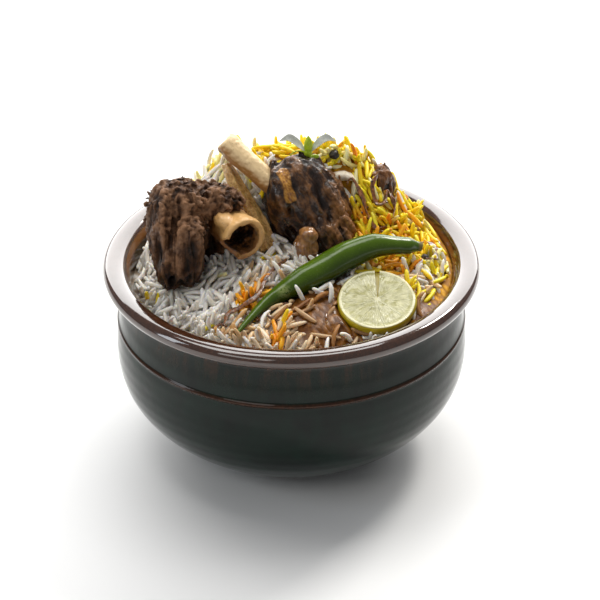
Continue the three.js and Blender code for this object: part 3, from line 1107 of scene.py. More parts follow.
def settle(
    piece: Piece,
    slot: Slot,
    material: Material,
    nodes: Sequence[str] = (),
    angle: float = 60,
) -> Piece:
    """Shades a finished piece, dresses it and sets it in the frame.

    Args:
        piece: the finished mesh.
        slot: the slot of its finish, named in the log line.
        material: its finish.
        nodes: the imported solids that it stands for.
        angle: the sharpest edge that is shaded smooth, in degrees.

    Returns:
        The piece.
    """
    pick(piece)
    bpy.ops.object.shade_smooth_by_angle(angle=math.radians(angle))
    piece.data.materials.clear()
    piece.data.materials.append(material)
    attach(piece, "root")
    if nodes:
        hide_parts(*nodes)
    log.info("%s: %d faces, %s", piece.name, len(piece.data.polygons), slot.value)
    return piece


def tree_of(*names: str) -> BVHTree:
    """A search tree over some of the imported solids.

    Args:
        *names: the solids' nodes.

    Returns:
        The tree.
    """
    points, faces = [], []
    for name in names:
        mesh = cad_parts[name].data
        first = len(points)
        points.extend(vertex.co.copy() for vertex in mesh.vertices)
        faces.extend([first + corner for corner in face.vertices] for face in mesh.polygons)
    return BVHTree.FromPolygons(points, faces)


def towards(direction: Sequence[float], roll: float = 0.0) -> Matrix:
    """A turn that takes the X axis to direction, after a roll about it."""
    turn = Vector((1, 0, 0)).rotation_difference(Vector(direction).normalized()).to_matrix().to_4x4()
    return turn @ Matrix.Rotation(roll, 4, "X")


# ---- The bowl ----


@dataclass
class Bowl:
    """The handi bowl: foot, belly, shoulder with a raised line, neck and broad rounded lip."""

    lip_centre: Pair = (81.4, 88.8)
    lip_round: float = 3.6
    belly: Pair = (79.4, 50.6)
    foot: float = 41.0
    bead: Pair = (78.2, 63.3)
    bead_rise: float = 0.9
    bead_half_width: float = 1.5
    neck: Pair = (76.0, 78.0)
    around: int = 128

    def outline(self) -> list[Pair]:
        """The outline in millimetres, from the middle of the foot round to the middle of the floor.

        Returns:
            The (radius, height) points.
        """
        run = [(0.0, 1.4), (20.0, 1.4), (30.4, 1.4), (31.4, 1.0), (32.0, 0.2), (33.0, 0.0)]
        run += [(39.8, 0.0), (40.7, 0.3), (self.foot, 0.9)]
        run += curved(run[-1], (64, 15), (79.4, 26), self.belly, 18)
        low = (self.bead[0], self.bead[1] - self.bead_half_width)
        run += curved(self.belly, (79.4, 55), (78.9, 59), low, 5)
        for step in np.linspace(-1, 1, 9)[1:]:
            rise = self.bead_rise * math.cos(step * math.pi / 2) ** 1.4
            run.append((self.bead[0] + rise, self.bead[1] + self.bead_half_width * step))
        run += curved(run[-1], (77.8, 70), (76.2, 74), self.neck, 7)
        run += curved(self.neck, (75.9, 83.4), (77.4, 85.0), (80.0, 85.1), 7)
        for angle in np.radians(np.linspace(-80, 70, 12)):
            x, z = self.lip_centre
            run.append((x + self.lip_round * math.cos(angle), z + self.lip_round * math.sin(angle)))
        run += curved(run[-1], (81.2, 92.7), (78.0, 92.7), (75.9, 91.5), 9)
        run += curved(run[-1], (74.5, 90.7), (73.1, 88.2), (72.4, 85.2), 6)
        run += [(71.9, 82.0), (71.6, 78.0), (72.2, 74.0), (73.2, 69.0), (73.6, 66.0)]
        run += [(73.8, 58.0)] + curved((73.8, 50.6), (73.8, 28), (58, 13.5), (34, 7.9), 10)
        return run + [(18.0, 7.6), (0.0, 7.5)]

    def build(self) -> Piece:
        """Turns the bowl and rounds it off.

        Returns:
            The bowl.
        """
        outline = [(max(0.0, radius) * MM, height * MM) for radius, height in self.outline()]
        piece = spun("glazed_bowl", outline, self.around)
        rounded_off(piece)
        points = points_of(piece)
        turn = np.arctan2(points[:, 1], points[:, 0])
        sway = 0.18 * np.sin(2 * turn + 0.6) + 0.10 * np.sin(3 * turn + 2)
        lifted = np.clip(points[:, 2] / (90 * MM), 0, 1)
        points[:, :2] *= (1 + (sway * lifted * MM / (80 * MM)))[:, None]
        move_points(piece, points)
        outwards, away = normals_of(piece), np.hypot(points[:, 0], points[:, 1])
        facing = (outwards[:, :2] * points[:, :2]).sum(axis=1) / np.maximum(1e-9, away)
        floor = (outwards[:, 2] > 0.5) & (points[:, 2] < 60 * MM)
        carry(piece, "inner", ((facing < -0.05) & (points[:, 2] > 5 * MM) | floor).astype(float))
        return settle(piece, Slot.GLAZE, GlazeFinish().material(), ["bowl"], 50)


# ---- The rice ----

FIRM = (
    "marrow_bone", "shank_bone", "fat_knob", "sinew_strip", "meat_left", "meat_middle", "meat_back",
    "chilli", "lime_slice", "cashew", "herb_sprig",
)


class Zone(Enum):
    """The kinds of rice that the heap shows, each with the tints of its grains."""

    WHITE = ((0.90, 0.86, 0.80), (0.82, 0.78, 0.72), (0.94, 0.92, 0.88))
    YELLOW = ((0.96, 0.71, 0.012), (0.97, 0.79, 0.045), (0.95, 0.61, 0.008))
    PALE = ((0.93, 0.84, 0.38), (0.93, 0.88, 0.62), (0.95, 0.80, 0.20))
    ORANGE = ((0.92, 0.38, 0.014), (0.94, 0.53, 0.018), (0.84, 0.28, 0.016))
    STAINED = ((0.76, 0.58, 0.38), (0.84, 0.72, 0.56), (0.68, 0.38, 0.12))
    GRAVY = ((0.34, 0.15, 0.032), (0.68, 0.50, 0.30), (0.20, 0.07, 0.012))


@dataclass(frozen=True)
class Patch:
    """A round patch of the heap, in millimetres, where one kind of rice is likely."""

    zone: Zone
    x: float
    y: float
    radius: float
    share: float

    def pull(self, x: float, y: float) -> float:
        """How strongly the patch claims a grain at (x, y), in millimetres."""
        reach = math.hypot(x - self.x, y - self.y) / self.radius
        return self.share * max(0.0, min(1.0, 1.6 - reach)) if reach < 1.6 else 0.0


PATCHES = (
    Patch(Zone.ORANGE, 31, 6, 8, 0.55),
    Patch(Zone.ORANGE, 37, -2, 7, 0.4),
    Patch(Zone.ORANGE, 51, 3, 7, 0.6),
    Patch(Zone.ORANGE, 49, -15, 6, 0.45),
    Patch(Zone.ORANGE, -16, -34, 7, 0.75),
    Patch(Zone.ORANGE, -4, -54, 6, 0.35),
    Patch(Zone.WHITE, 57, -18, 8, 0.7),
    Patch(Zone.STAINED, 56, -22, 10, 0.45),
    Patch(Zone.PALE, 22, 28, 8, 0.5),
    Patch(Zone.PALE, 61, -4, 7, 0.5),
    Patch(Zone.YELLOW, -6, 40, 15, 0.95),
    Patch(Zone.PALE, -32, 34, 12, 0.5),
    Patch(Zone.GRAVY, 8, -44, 13, 0.85),
    Patch(Zone.GRAVY, 18, -52, 13, 0.9),
    Patch(Zone.GRAVY, 28, -62, 11, 0.8),
    Patch(Zone.GRAVY, 4, -64, 8, 0.35),
    Patch(Zone.GRAVY, 60, -38, 9, 0.75),
    Patch(Zone.GRAVY, 16, -32, 11, 0.7),
    Patch(Zone.STAINED, -8, -52, 16, 0.75),
    Patch(Zone.STAINED, 6, -60, 14, 0.7),
    Patch(Zone.STAINED, -10, -30, 12, 0.45),
    Patch(Zone.STAINED, -28, -60, 8, 0.4),
    Patch(Zone.WHITE, -2, -58, 9, 0.5),
)


class Heap:
    """The top of the rice and the undersides of the pieces over it, on a square grid."""

    half: float = 72.0 * MM
    step: float = 0.6 * MM
    reach: float = 71.2 * MM
    hollow_at: Pair = (33.0 * MM, -60.0 * MM)
    hollow_half: Pair = (19.0 * MM, 8.5 * MM)
    hollow_depth: float = 5.2 * MM
    blur: float = 3.5 * MM

    def __init__(self) -> None:
        """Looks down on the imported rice, and up from it to the pieces that lie on it."""
        white, saffron, firm = tree_of("rice_white"), tree_of("rice_saffron"), tree_of(*FIRM)
        self.size = int(2 * self.half / self.step) + 1
        self.top = np.full((self.size, self.size), np.nan)
        self.roof = np.full((self.size, self.size), np.inf)
        self.saffron = np.zeros((self.size, self.size))
        down, up, high = Vector((0, 0, -1)), Vector((0, 0, 1)), 0.2
        for i, j in itertools.product(range(self.size), repeat=2):
            x, y = i * self.step - self.half, j * self.step - self.half
            if x * x + y * y > self.reach**2:
                continue
            start = Vector((x, y, high))
            hits = [tree.ray_cast(start, down)[0] for tree in (white, saffron)]
            heights = [hit.z if hit is not None else -1.0 for hit in hits]
            self.top[i, j] = max(heights) - self.hollow(x, y)
            self.saffron[i, j] = float(heights[1] > heights[0])
            over = firm.ray_cast(Vector((x, y, max(heights) + 0.02 * MM)), up)[0]
            if over is not None:
                self.roof[i, j] = over.z

    def hollow(self, x: float, y: float) -> float:
        """How far the rice dips in front of the lime, where its rind shows.

        Args:
            x: the place along X, in metres.
            y: the same along Y.

        Returns:
            The dip at that place.
        """
        across = (x - self.hollow_at[0]) / self.hollow_half[0]
        forward = (y - self.hollow_at[1]) / self.hollow_half[1]
        return self.hollow_depth * math.exp(-(across**2 + forward**2))

    def cell(self, x: Array, y: Array) -> tuple[Array, Array]:
        """The grid cells of points.

        Args:
            x: their places along X, in metres.
            y: the same along Y.

        Returns:
            The cells' numbers along X and along Y.
        """
        limit = self.size - 1
        i = np.clip(np.rint((np.asarray(x) + self.half) / self.step).astype(int), 0, limit)
        j = np.clip(np.rint((np.asarray(y) + self.half) / self.step).astype(int), 0, limit)
        return i, j

    def zone(self, x: float, y: float, rng: np.random.Generator) -> Zone:
        """Draws the kind of a grain that lies at (x, y), in metres.

        Args:
            x: its place along X.
            y: its place along Y.
            rng: the source of random draws.

        Returns:
            The kind.
        """
        i, j = self.cell(x + rng.normal(0, self.blur), y + rng.normal(0, self.blur))
        for patch in PATCHES:
            if rng.random() < patch.pull(x / MM, y / MM):
                return patch.zone
        if self.saffron[i, j] > 0.5:
            return Zone.YELLOW if rng.random() < 0.86 else (Zone.PALE if rng.random() < 0.7 else Zone.ORANGE)
        return Zone.WHITE if rng.random() < 0.97 else (Zone.PALE if rng.random() < 0.5 else Zone.YELLOW)


@dataclass
class Grain:
    """One grain of rice where it came to rest."""

    centre: Vector
    along: Vector
    length: float
    roll: float
    zone: Zone


@dataclass
class RiceGrains:
    """Long grains dropped one by one until they fill the heap's outline."""

    heap: Heap
    length: float = 11.8 * MM
    radius: float = 1.06 * MM
    depth: float = 4.2 * MM
    tries: int = 26000
    most: int = 2700
    uprights: int = 820
    wall: float = 71.4 * MM
    drowned: float = 0.72
    headroom: float = 1.2 * MM
    choices: int = 24
    full_within: float = 0.6 * MM
    shortest: float = 0.72
    longest: float = 1.25
    steepest: float = 1.1
    proud: float = 1.5 * MM
    slant: Pair = (0.6, 1.35)
    planted: Pair = (2.8, 6.2)
    seed: int = 11

    def pattern(self, bend: float, index: int) -> Piece:
        """One grain along the X axis, a metre long and thick, bent by that angle.

        Args:
            bend: the angle, in radians.
            index: its number among the patterns.

        Returns:
            The grain.
        """
        add = bpy.ops.mesh.primitive_uv_sphere_add
        grain = primitive(f"grain_{index}", add, segments=6, ring_count=6, radius=0.5, rotation=LYING)
        points = points_of(grain)
        thick = np.maximum(1e-6, 2 * np.hypot(points[:, 1], points[:, 2]))
        points[:, 1:] *= (1.12 * thick**-0.34)[:, None]
        points[:, 2] *= 0.9
        curl = bend * ((2 * points[:, 0]) ** 2 - 0.35)
        points[:, 2] += curl
        points[:, 1] += 0.4 * bend * np.sin(3 * points[:, 0])
        move_points(grain, points)
        return grain

    def rest(
        self, x: float, y: float, turn: float, length: float, ground: Array
    ) -> Pair | None:
        """The height and slope at which a grain comes to rest over (x, y), or None where it can't lie.

        Args:
            x: the grain's middle along X.
            y: the same along Y.
            turn: its heading, in radians.
            length: its length.
            ground: how high the heap stands so far.

        Returns:
            The height and the slope, or None.
        """
        reach = np.linspace(-0.46, 0.46, 9) * length
        i, j = self.heap.cell(x + reach * math.cos(turn), y + reach * math.sin(turn))
        heights = ground[i, j]
        if np.isnan(heights).any():
            return None
        left, right = np.arange(4), np.arange(5, 9)
        run = reach[right][None, :] - reach[left][:, None]
        slope = (heights[right][None, :] - heights[left][:, None]) / run
        middle = heights[left][:, None] - slope * reach[left][:, None]
        best = np.unravel_index(np.argmax(middle), middle.shape)
        return max(middle[best], heights[4]), float(np.clip(slope[best], -self.steepest, self.steepest))

    def clear(self, x: float, y: float, z: float, along: Vector, length: float) -> bool:
        """Whether the grain lies clear of the pieces over the rice.

        Args:
            x: the grain's middle along X.
            y: the same along Y.
            z: its height.
            along: its direction.
            length: its length.

        Returns:
            True if nothing is in its way.
        """
        reach = np.linspace(-0.5, 0.5, 7) * length
        i, j = self.heap.cell(x + reach * along.x, y + reach * along.y)
        return bool((z + reach * along.z + 0.7 * self.radius < self.heap.roof[i, j]).all())

    def cover(self, grain: Grain, ground: Array) -> None:
        """Raises the ground to the top of a grain.

        Args:
            grain: the grain.
            ground: the heights, which change in place.
        """
        reach = np.linspace(-0.48, 0.48, 15)[:, None] * grain.length
        side = np.linspace(-0.9, 0.9, 5)[None, :] * self.radius
        flat = Vector((-grain.along.y, grain.along.x))
        flat = flat.normalized() if flat.length > 1e-6 else Vector((1, 0))
        x = grain.centre.x + reach * grain.along.x + side * flat.x
        y = grain.centre.y + reach * grain.along.y + side * flat.y
        i, j = self.heap.cell(x, y)
        height = grain.centre.z + reach * grain.along.z + np.sqrt(np.maximum(0, self.radius**2 - side**2))
        np.maximum.at(ground, (i, j), height)

    def drop(self) -> list[Grain]:
        """Drops the grains, each where the heap lacks most of a few places.

        Returns:
            The grains that show, with those that stand up.
        """
        rng = np.random.default_rng(self.seed)
        heap = self.heap
        hidden = heap.roof - heap.top < self.headroom
        ground = np.where(np.isnan(heap.top), np.nan, heap.top - self.depth)
        open_i, open_j = np.nonzero(~np.isnan(heap.top) & ~hidden)
        grains: list[Grain] = []
        for _ in range(self.tries):
            if len(grains) >= self.most:
                break
            choice = rng.integers(0, len(open_i), self.choices)
            lack = heap.top[open_i[choice], open_j[choice]] - ground[open_i[choice], open_j[choice]]
            best = choice[int(np.argmax(lack))]
            if lack.max() < self.full_within:
                continue
            x, y = open_i[best] * heap.step - heap.half, open_j[best] * heap.step - heap.half
            length = self.length * float(np.clip(rng.normal(1, 0.12), self.shortest, self.longest))
            turn = rng.uniform(0, math.pi)
            found = self.rest(x, y, turn, length, ground)
            if found is None:
                continue
            height, slope = found
            slope += rng.normal(0, 0.10)
            along = Vector((math.cos(turn), math.sin(turn), slope)).normalized()
            z = height + 0.75 * self.radius
            ends = [
                (x + s * along.x * length / 2, y + s * along.y * length / 2, z + s * along.z * length / 2)
                for s in (-1, 1)
            ]
            cells = [heap.cell(end[0], end[1]) for end in ends]
            proud = [end[2] - heap.top[cell] for end, cell in zip(ends, cells)]
            if not all(rise < self.proud for rise in proud) or not self.clear(x, y, z, along, length):
                continue
            if max(math.hypot(end[0], end[1]) for end in ends) > self.wall:
                continue
            roll = rng.uniform(0, 2 * math.pi)
            grains.append(Grain(Vector((x, y, z)), along, length, roll, heap.zone(x, y, rng)))
            self.cover(grains[-1], ground)
        log.info("%d grains lie in the heap", len(grains))
        shown = [grain for grain in grains if grain.zone is not Zone.GRAVY or rng.random() > self.drowned]
        return shown + self.stand(rng, open_i, open_j)

    def stand(self, rng: np.random.Generator, open_i: Array, open_j: Array) -> list[Grain]:
        """Grains that stand up out of the heap at a slant.

        Args:
            rng: the source of random draws.
            open_i: the open cells along X.
            open_j: the open cells along Y.

        Returns:
            Those grains.
        """
        grains: list[Grain] = []
        for _ in range(self.uprights * 6):
            if len(grains) >= self.uprights:
                break
            chosen = rng.integers(0, len(open_i))
            i, j = open_i[chosen], open_j[chosen]
            x, y = i * self.heap.step - self.heap.half, j * self.heap.step - self.heap.half
            bunch = Mottle(91).at(np.array([[x, y, 0]]) / (11 * MM))[0]
            if bunch < rng.uniform(-0.6, 0.3):
                continue
            lean = 5.0 * Mottle(92).at(np.array([[x, y, 0]]) / (16 * MM))[0]
            steep, turn = rng.uniform(*self.slant), lean + rng.normal(0, 0.5)
            flat = math.cos(steep)
            along = Vector((math.cos(turn) * flat, math.sin(turn) * flat, math.sin(steep)))
            length = self.length * float(np.clip(rng.normal(0.98, 0.12), self.shortest, self.longest))
            z = self.heap.top[i, j] + length * along.z * 0.5 - rng.uniform(*self.planted) * MM
            tip = (x + along.x * length / 2, y + along.y * length / 2)
            foot = (x - along.x * length / 2, y - along.y * length / 2)
            furthest = max(math.hypot(*tip), math.hypot(*foot))
            if furthest > self.wall - MM or not self.clear(x, y, z, along, length):
                continue
            roll = rng.uniform(0, 2 * math.pi)
            zone = self.heap.zone(x, y, rng)
            if zone is not Zone.GRAVY:
                grains.append(Grain(Vector((x, y, z)), along, length, roll, zone))
        return grains

    def tint(self, zone: Zone, rng: np.random.Generator) -> Array:
        """A grain's own colour within its kind.

        Args:
            zone: its kind.
            rng: the source of random draws.

        Returns:
            The colour.
        """
        first, second, third = (np.array(colour) for colour in zone.value)
        a, b = rng.random(2) ** 1.6
        mixed = first + (second - first) * a + (third - first) * b * (1 - a)
        return np.clip(mixed * rng.normal(1, 0.045), 0.008, 0.97)

    def build(self) -> list[Piece]:
        """Builds the white and the saffron grains as two meshes.

        Returns:
            Both meshes.
        """
        patterns = [self.pattern(bend, index) for index, bend in enumerate((0.05, 0.5, -0.65, 0.9, 0.25))]
        grains = self.drop()
        rng = np.random.default_rng(self.seed + 1)
        finished = []
        kinds = (
            ("white_rice_grains", Slot.WHITE_RICE, (Zone.WHITE, Zone.STAINED, Zone.GRAVY), "white rice"),
            ("saffron_rice_grains", Slot.SAFFRON_RICE, (Zone.YELLOW, Zone.PALE, Zone.ORANGE), "saffron rice"),
        )
        for name, slot, zones, finish in kinds:
            chosen = [grain for grain in grains if grain.zone in zones]
            places = []
            for grain in chosen:
                thick = 2 * self.radius * rng.uniform(0.88, 1.08)
                size = Matrix.Diagonal((grain.length, thick, thick, 1))
                places.append(Matrix.Translation(grain.centre) @ towards(grain.along, grain.roll) @ size)
            tints = np.array([self.tint(grain.zone, rng) for grain in chosen])
            piece = scattered(name, patterns, places, tints)
            nodes = ["rice_saffron"] if slot is Slot.SAFFRON_RICE else []
            finished.append(settle(piece, slot, GrainFinish(finish).material(), nodes, 80))
        remove(*patterns)
        return finished


@dataclass
class RiceBed:
    """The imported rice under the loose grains, closed underneath, raised and wet with gravy at the front."""

    heap: Heap
    sink: float = 2.6 * MM
    gravy_sink: float = 0.2 * MM
    edge_sink: float = 1.4 * MM
    thickness: float = 9.0 * MM
    radius: float = 73.0 * MM
    rings: int = 70
    around: int = 180
    # painted shade: the bed's white and yellow are darker than the grains' own tints, standing in for shade
    # on the rice deeper down
    white: Colour = (0.80, 0.76, 0.70)
    yellow: Colour = (0.74, 0.37, 0.012)
    gravy: Colour = (0.235, 0.088, 0.008)
    soaks_at: float = 1.9

    def wetness(self, x: Array, y: Array) -> Array:
        """How much gravy stands at each point, from 0 to 1.

        Args:
            x: their places along X, in metres.
            y: the same along Y.

        Returns:
            The share of gravy at each.
        """
        wet = np.zeros(len(x))
        for patch in PATCHES:
            if patch.zone is Zone.GRAVY:
                reach = np.hypot(x / MM - patch.x, y / MM - patch.y) / patch.radius
                wet = np.maximum(wet, patch.share * np.clip(1.45 - reach, 0, 1))
        return wet

    def build(self) -> Piece:
        """Shapes a round slab to lie just under the grains.

        Returns:
            The bed.
        """
        outline = [(0.0, 0.0), (self.radius * 0.7, 0.0), (self.radius * 0.98, 0.0)]
        outline.append((self.radius, self.thickness * 0.5))
        outline += [(self.radius * (1 - step / self.rings), self.thickness) for step in range(self.rings)]
        outline.append((0.0, self.thickness))
        piece = spun("packed_rice", outline, self.around)
        points = points_of(piece)
        upper = points[:, 2] > self.thickness * 0.4
        wet = self.wetness(points[:, 0], points[:, 1])
        away = np.hypot(points[:, 0], points[:, 1])
        inner = np.minimum(1, 70.6 * MM / np.maximum(1e-9, away))
        i, j = self.heap.cell(points[:, 0] * inner, points[:, 1] * inner)
        top = self.heap.top[i, j]
        top = np.where(np.isnan(top), 80 * MM, top)
        swell = Mottle(5).at(points / (7 * MM)) * 0.5 * MM
        edge = np.clip((away - 64 * MM) / (6 * MM), 0, 1) ** 2
        sink = self.sink + (self.edge_sink - self.sink) * edge
        level = top - sink + np.maximum(0, sink - self.gravy_sink) * wet + swell * (1 - wet)
        points[:, 2] = np.where(upper, level - (self.thickness - points[:, 2]) * 0.5, 66 * MM)
        move_points(piece, points)
        modified(piece, "SMOOTH", factor=0.5, iterations=3)
        saffron = self.heap.saffron[i, j]
        tint = np.where(saffron[:, None] > 0.5, np.array(self.yellow), np.array(self.white))
        soaked = np.clip(wet * self.soaks_at, 0, 1)[:, None]
        tint = tint * (1 - soaked) + np.array(self.gravy) * soaked
        carry(piece, "tint", tint)
        carry(piece, "wet", wet)
        return settle(piece, Slot.WHITE_RICE, BedFinish().material(), ["rice_white"], 70)


# ---- Meat, bones, sinew and fat ----


@dataclass(frozen=True)
class Lump:
    """An ellipsoid of flesh: its centre and half sizes, in millimetres."""

    at: Point
    half: Point


@dataclass(frozen=True)
class Groove:
    """A crease down a chunk: it runs between two points, in millimetres."""

    start: Point
    end: Point
    width: float
    depth: float

    def cut(self, points: Array) -> Array:
        """How deep the crease is at each point, in millimetres.

        Args:
            points: the places, a row each, in millimetres.

        Returns:
            The depth at each.
        """
        a, b = np.array(self.start), np.array(self.end)
        share = np.clip(((points - a) @ (b - a)) / np.dot(b - a, b - a), 0, 1)
        away = np.linalg.norm(points - (a + share[:, None] * (b - a)), axis=1)
        return self.depth * np.exp(-((away / self.width) ** 2))


@dataclass
class Flesh:
    """A chunk of cooked meat: rounded lumps under torn fibres, with creases and sauce."""

    name: str
    heart: Point
    lumps: Sequence[Lump]
    grain: Callable[[Array], Array]
    finish: MeatFinish
    nodes: Sequence[str]
    shreds: int = 160
    shred_size: Pair = (9.0, 0.75)
    grooves: Sequence[Groove] = ()
    streaks: Sequence[Groove] = ()
    torn: Callable[[Array], Array] | None = None
    main: Point = (0.0, 0.0, 1.0)
    coarse: float = 1.0
    fine: float = 0.9
    hair: float = 0.3
    voxel: float = 0.5 * MM
    seed: int = 3

    def body(self) -> Piece:
        """The joined lumps, melted into one.

        Returns:
            The body.
        """
        parts = []
        for lump in self.lumps:
            at = tuple((h + a) * MM for h, a in zip(self.heart, lump.at))
            size = tuple(half * MM for half in lump.half)
            shape = {"segments": 40, "ring_count": 24, "radius": 1, "location": at, "scale": size}
            parts.append(primitive("lump", bpy.ops.mesh.primitive_uv_sphere_add, **shape))
        whole = joined(self.name, parts)
        return melted(whole, 1.1 * MM, 0.6, 7)

    def shredded(self, body: Piece) -> Piece:
        """Lays strands of fibre over the body and melts them into it.

        Args:
            body: the plain body, which becomes part of the chunk.

        Returns:
            The chunk.
        """
        rng = np.random.default_rng(self.seed)
        add = bpy.ops.mesh.primitive_uv_sphere_add
        strand = primitive("strand", add, segments=8, ring_count=8, radius=0.5, rotation=LYING)
        points, outwards = points_of(body), normals_of(body)
        torn = self.torn(points / MM) if self.torn else np.zeros(len(points))
        weight = 0.25 + torn
        chosen = rng.choice(len(points), self.shreds, p=weight / weight.sum())
        run = self.grain(points[chosen] / MM)
        places = []
        for index, direction in zip(chosen, run):
            out = Vector(outwards[index])
            along = Vector(direction) + Vector(rng.normal(0, 0.16, 3)) * (1 + torn[index])
            along -= out * along.dot(out) * rng.uniform(0.55, 1.0)
            length, thick = self.shred_size
            size = Matrix.Diagonal((
                length * rng.uniform(0.5, 1.25) * MM,
                2 * thick * rng.uniform(0.6, 1.3) * MM,
                2 * thick * rng.uniform(0.6, 1.2) * MM,
                1,
            ))
            at = Vector(points[index]) + out * rng.uniform(-0.5, 0.45) * thick * MM
            places.append(Matrix.Translation(at) @ towards(along, rng.uniform(0, 3)) @ size)
        fibres = scattered("fibres", [strand], places)
        remove(strand)
        whole = joined(self.name, [body, fibres])
        return melted(whole, self.voxel, 0.5, 1)

    def relief(self, piece: Piece) -> None:
        """Raises the fibres, cuts the creases and stores how high each point stands.

        Args:
            piece: the chunk.
        """
        place = points_of(piece) / MM
        run = np.array(self.main) / np.linalg.norm(self.main)
        side = np.cross(run, [0.3, 1, 0.2])
        side /= np.linalg.norm(side)
        local = place @ np.stack([side, np.cross(run, side), run], axis=1)
        local[:, 0] += Mottle(self.seed + 9).at(place / 9) * 1.8
        coarse = Mottle(self.seed).at(local / np.array([5.0, 5.0, 15]))
        ribs = Mottle(self.seed + 1).ridged(local / np.array([2.5, 2.5, 19]))
        threads = Mottle(self.seed + 2).ridged(local / np.array([1.0, 1.0, 8]))
        crumbs = Mottle(self.seed + 3).at(place / 1.9) + 0.6 * Mottle(self.seed + 4).at(place / 0.9)
        torn = self.torn(place) if self.torn else np.zeros(len(place))
        whole = 1 - 0.8 * torn
        rise = self.coarse * coarse + self.fine * whole * (ribs - 0.45) + self.hair * whole * (threads - 0.45)
        rise += crumbs * (0.10 + 0.85 * torn)
        creases = sum((groove.cut(place) for groove in self.grooves), np.zeros(len(place)))
        rise -= creases
        raise_points(piece, rise)
        # the stored relief drives the finish's painted shade in low places and creases and its painted light
        # on the raised ribs
        level = 0.5 + 0.22 * coarse + 0.32 * (ribs - 0.45) + 0.16 * (threads - 0.45) + 0.12 * crumbs
        carry(piece, "relief", np.clip(level - 0.35 * creases, 0, 1))
        carry(piece, "torn", np.clip(torn, 0, 1))
        fat = sum((streak.cut(place) for streak in self.streaks), np.zeros(len(place)))
        carry(piece, "fat", np.clip(fat, 0, 1))

    def build(self) -> Piece:
        """Builds and dresses the chunk.

        Returns:
            The chunk.
        """
        piece = self.shredded(self.body())
        self.relief(piece)
        return settle(piece, Slot.MEAT, self.finish.material(), self.nodes, 80)


def straight(x: float, y: float, z: float) -> Callable[[Array], Array]:
    """Fibres that all run one way."""
    return lambda points: np.tile([x, y, z], (len(points), 1)).astype(float)


def left_grain(points: Array) -> Array:
    """Upright fibres on the left chunk that lie over along its top ridge."""
    over = np.clip((points[:, 2] - 115) / 8, 0, 1)[:, None]
    return np.array([0.08, -0.1, 1.0]) * (1 - over) + np.array([1.0, -0.35, -0.25]) * over


def left_torn(points: Array) -> Array:
    """The ridge on top of the left chunk is shredded."""
    return np.clip((points[:, 2] - 112) / 9, 0, 1) * np.clip((points[:, 0] + 62) / 8, 0.3, 1)


def middle_torn(points: Array) -> Array:
    """The middle chunk is rough down its right side."""
    return np.clip((points[:, 0] - 14) / 10, 0, 0.6)


@dataclass
class MeatOnTheBone:
    """The three chunks of mutton."""

    def build(self) -> list[Piece]:
        """Builds each chunk.

        Returns:
            The chunks.
        """
        left = Flesh(
            name="mutton_left",
            heart=(-46, -5, 110),
            lumps=[
                Lump((-10.6, -4, 3.5), (7.0, 15.5, 22)),
                Lump((-8, -13, -9), (6.4, 9, 14)),
                Lump((0, -13, -3.5), (7.6, 10, 18)),
                Lump((2.6, -13, 5), (5.2, 8.5, 9)),
                Lump((-4, -3, 18), (12, 10, 8.5)),
                Lump((8, 2, 14), (16.5, 9.5, 7.5)),
                Lump((5, 8, -3), (18, 9, 17)),
            ],
            grain=left_grain,
            finish=MeatFinish("torn mutton", pale=(0.33, 0.17, 0.085), sauce=0.35, fibres=(0.1, 0.1, 0)),
            nodes=["meat_left"],
            shreds=330,
            grooves=[
                Groove((-53.0, -26, 94), (-51.5, -15, 127), 1.4, 3.2),
                Groove((-36.5, -22, 92), (-37.5, -18, 116), 1.8, 2.6),
                Groove((-46, -29, 90), (-44, -22, 113), 1.1, 1.9),
                Groove((-61, -19, 92), (-59, -16, 120), 1.0, 1.6),
                Groove((-56, -24, 88), (-57, -19, 108), 0.9, 1.5),
                Groove((-54, -17, 115), (-38, -20, 114), 1.2, 1.7),
            ],
            torn=left_torn,
            coarse=1.1,
            fine=1.7,
            hair=0.6,
            seed=31,
        )
        middle = Flesh(
            name="mutton_middle",
            heart=(9, 11, 112),
            lumps=[
                Lump((-2, 1, 1), (18.6, 13.8, 18)),
                Lump((-5.5, 1.5, 12), (14, 11.6, 13)),
                Lump((-12, -4, 9), (8.6, 9.4, 13.5)),
                Lump((5, -6, -8), (13.8, 12, 11)),
            ],
            grain=straight(0.55, -0.25, -1.0),
            main=(0.55, -0.25, -1.0),
            finish=MeatFinish(
                "glazed mutton",
                dark=(0.0045, 0.0017, 0.0007),
                middle=(0.026, 0.0092, 0.0030),
                pale=(0.27, 0.115, 0.034),
                sauce=1.0,
                fibres=(0.2, -0.5, 0),
                paler_where_torn=0.36,
                coat_rough=0.11,
            ),
            nodes=["meat_middle"],
            shreds=90,
            shred_size=(10.0, 1.2),
            grooves=[
                Groove((-6, -5, 128), (2, -8, 102), 1.2, 1.6),
                Groove((8, -6, 126), (16, -9, 104), 1.1, 1.3),
                Groove((20, 0, 122), (24, -6, 104), 1.2, 1.5),
            ],
            streaks=[
                Groove((-4.5, 6, 136), (-0.5, -1, 124), 2.9, 1.1),
                Groove((20, 2, 126), (26, -2, 108), 2.4, 0.62),
            ],
            torn=middle_torn,
            coarse=1.9,
            fine=0.7,
            hair=0.12,
            seed=57,
        )
        back = Flesh(
            name="mutton_back",
            heart=(41, 31, 112.5),
            lumps=[Lump((0, 0, 0), (6.2, 7.5, 9.5)), Lump((-2, -2, 3), (4, 4.5, 5))],
            grain=straight(0.3, 0.1, 1.0),
            finish=MeatFinish(
                "small mutton piece", middle=(0.13, 0.048, 0.013), pale=(0.34, 0.15, 0.05), sauce=0.8
            ),
            nodes=["meat_back"],
            shreds=12,
            shred_size=(5.0, 0.5),
            coarse=0.6,
            fine=1.2,
            voxel=0.42 * MM,
            seed=77,
        )
        return [chunk.build() for chunk in (left, middle, back)]


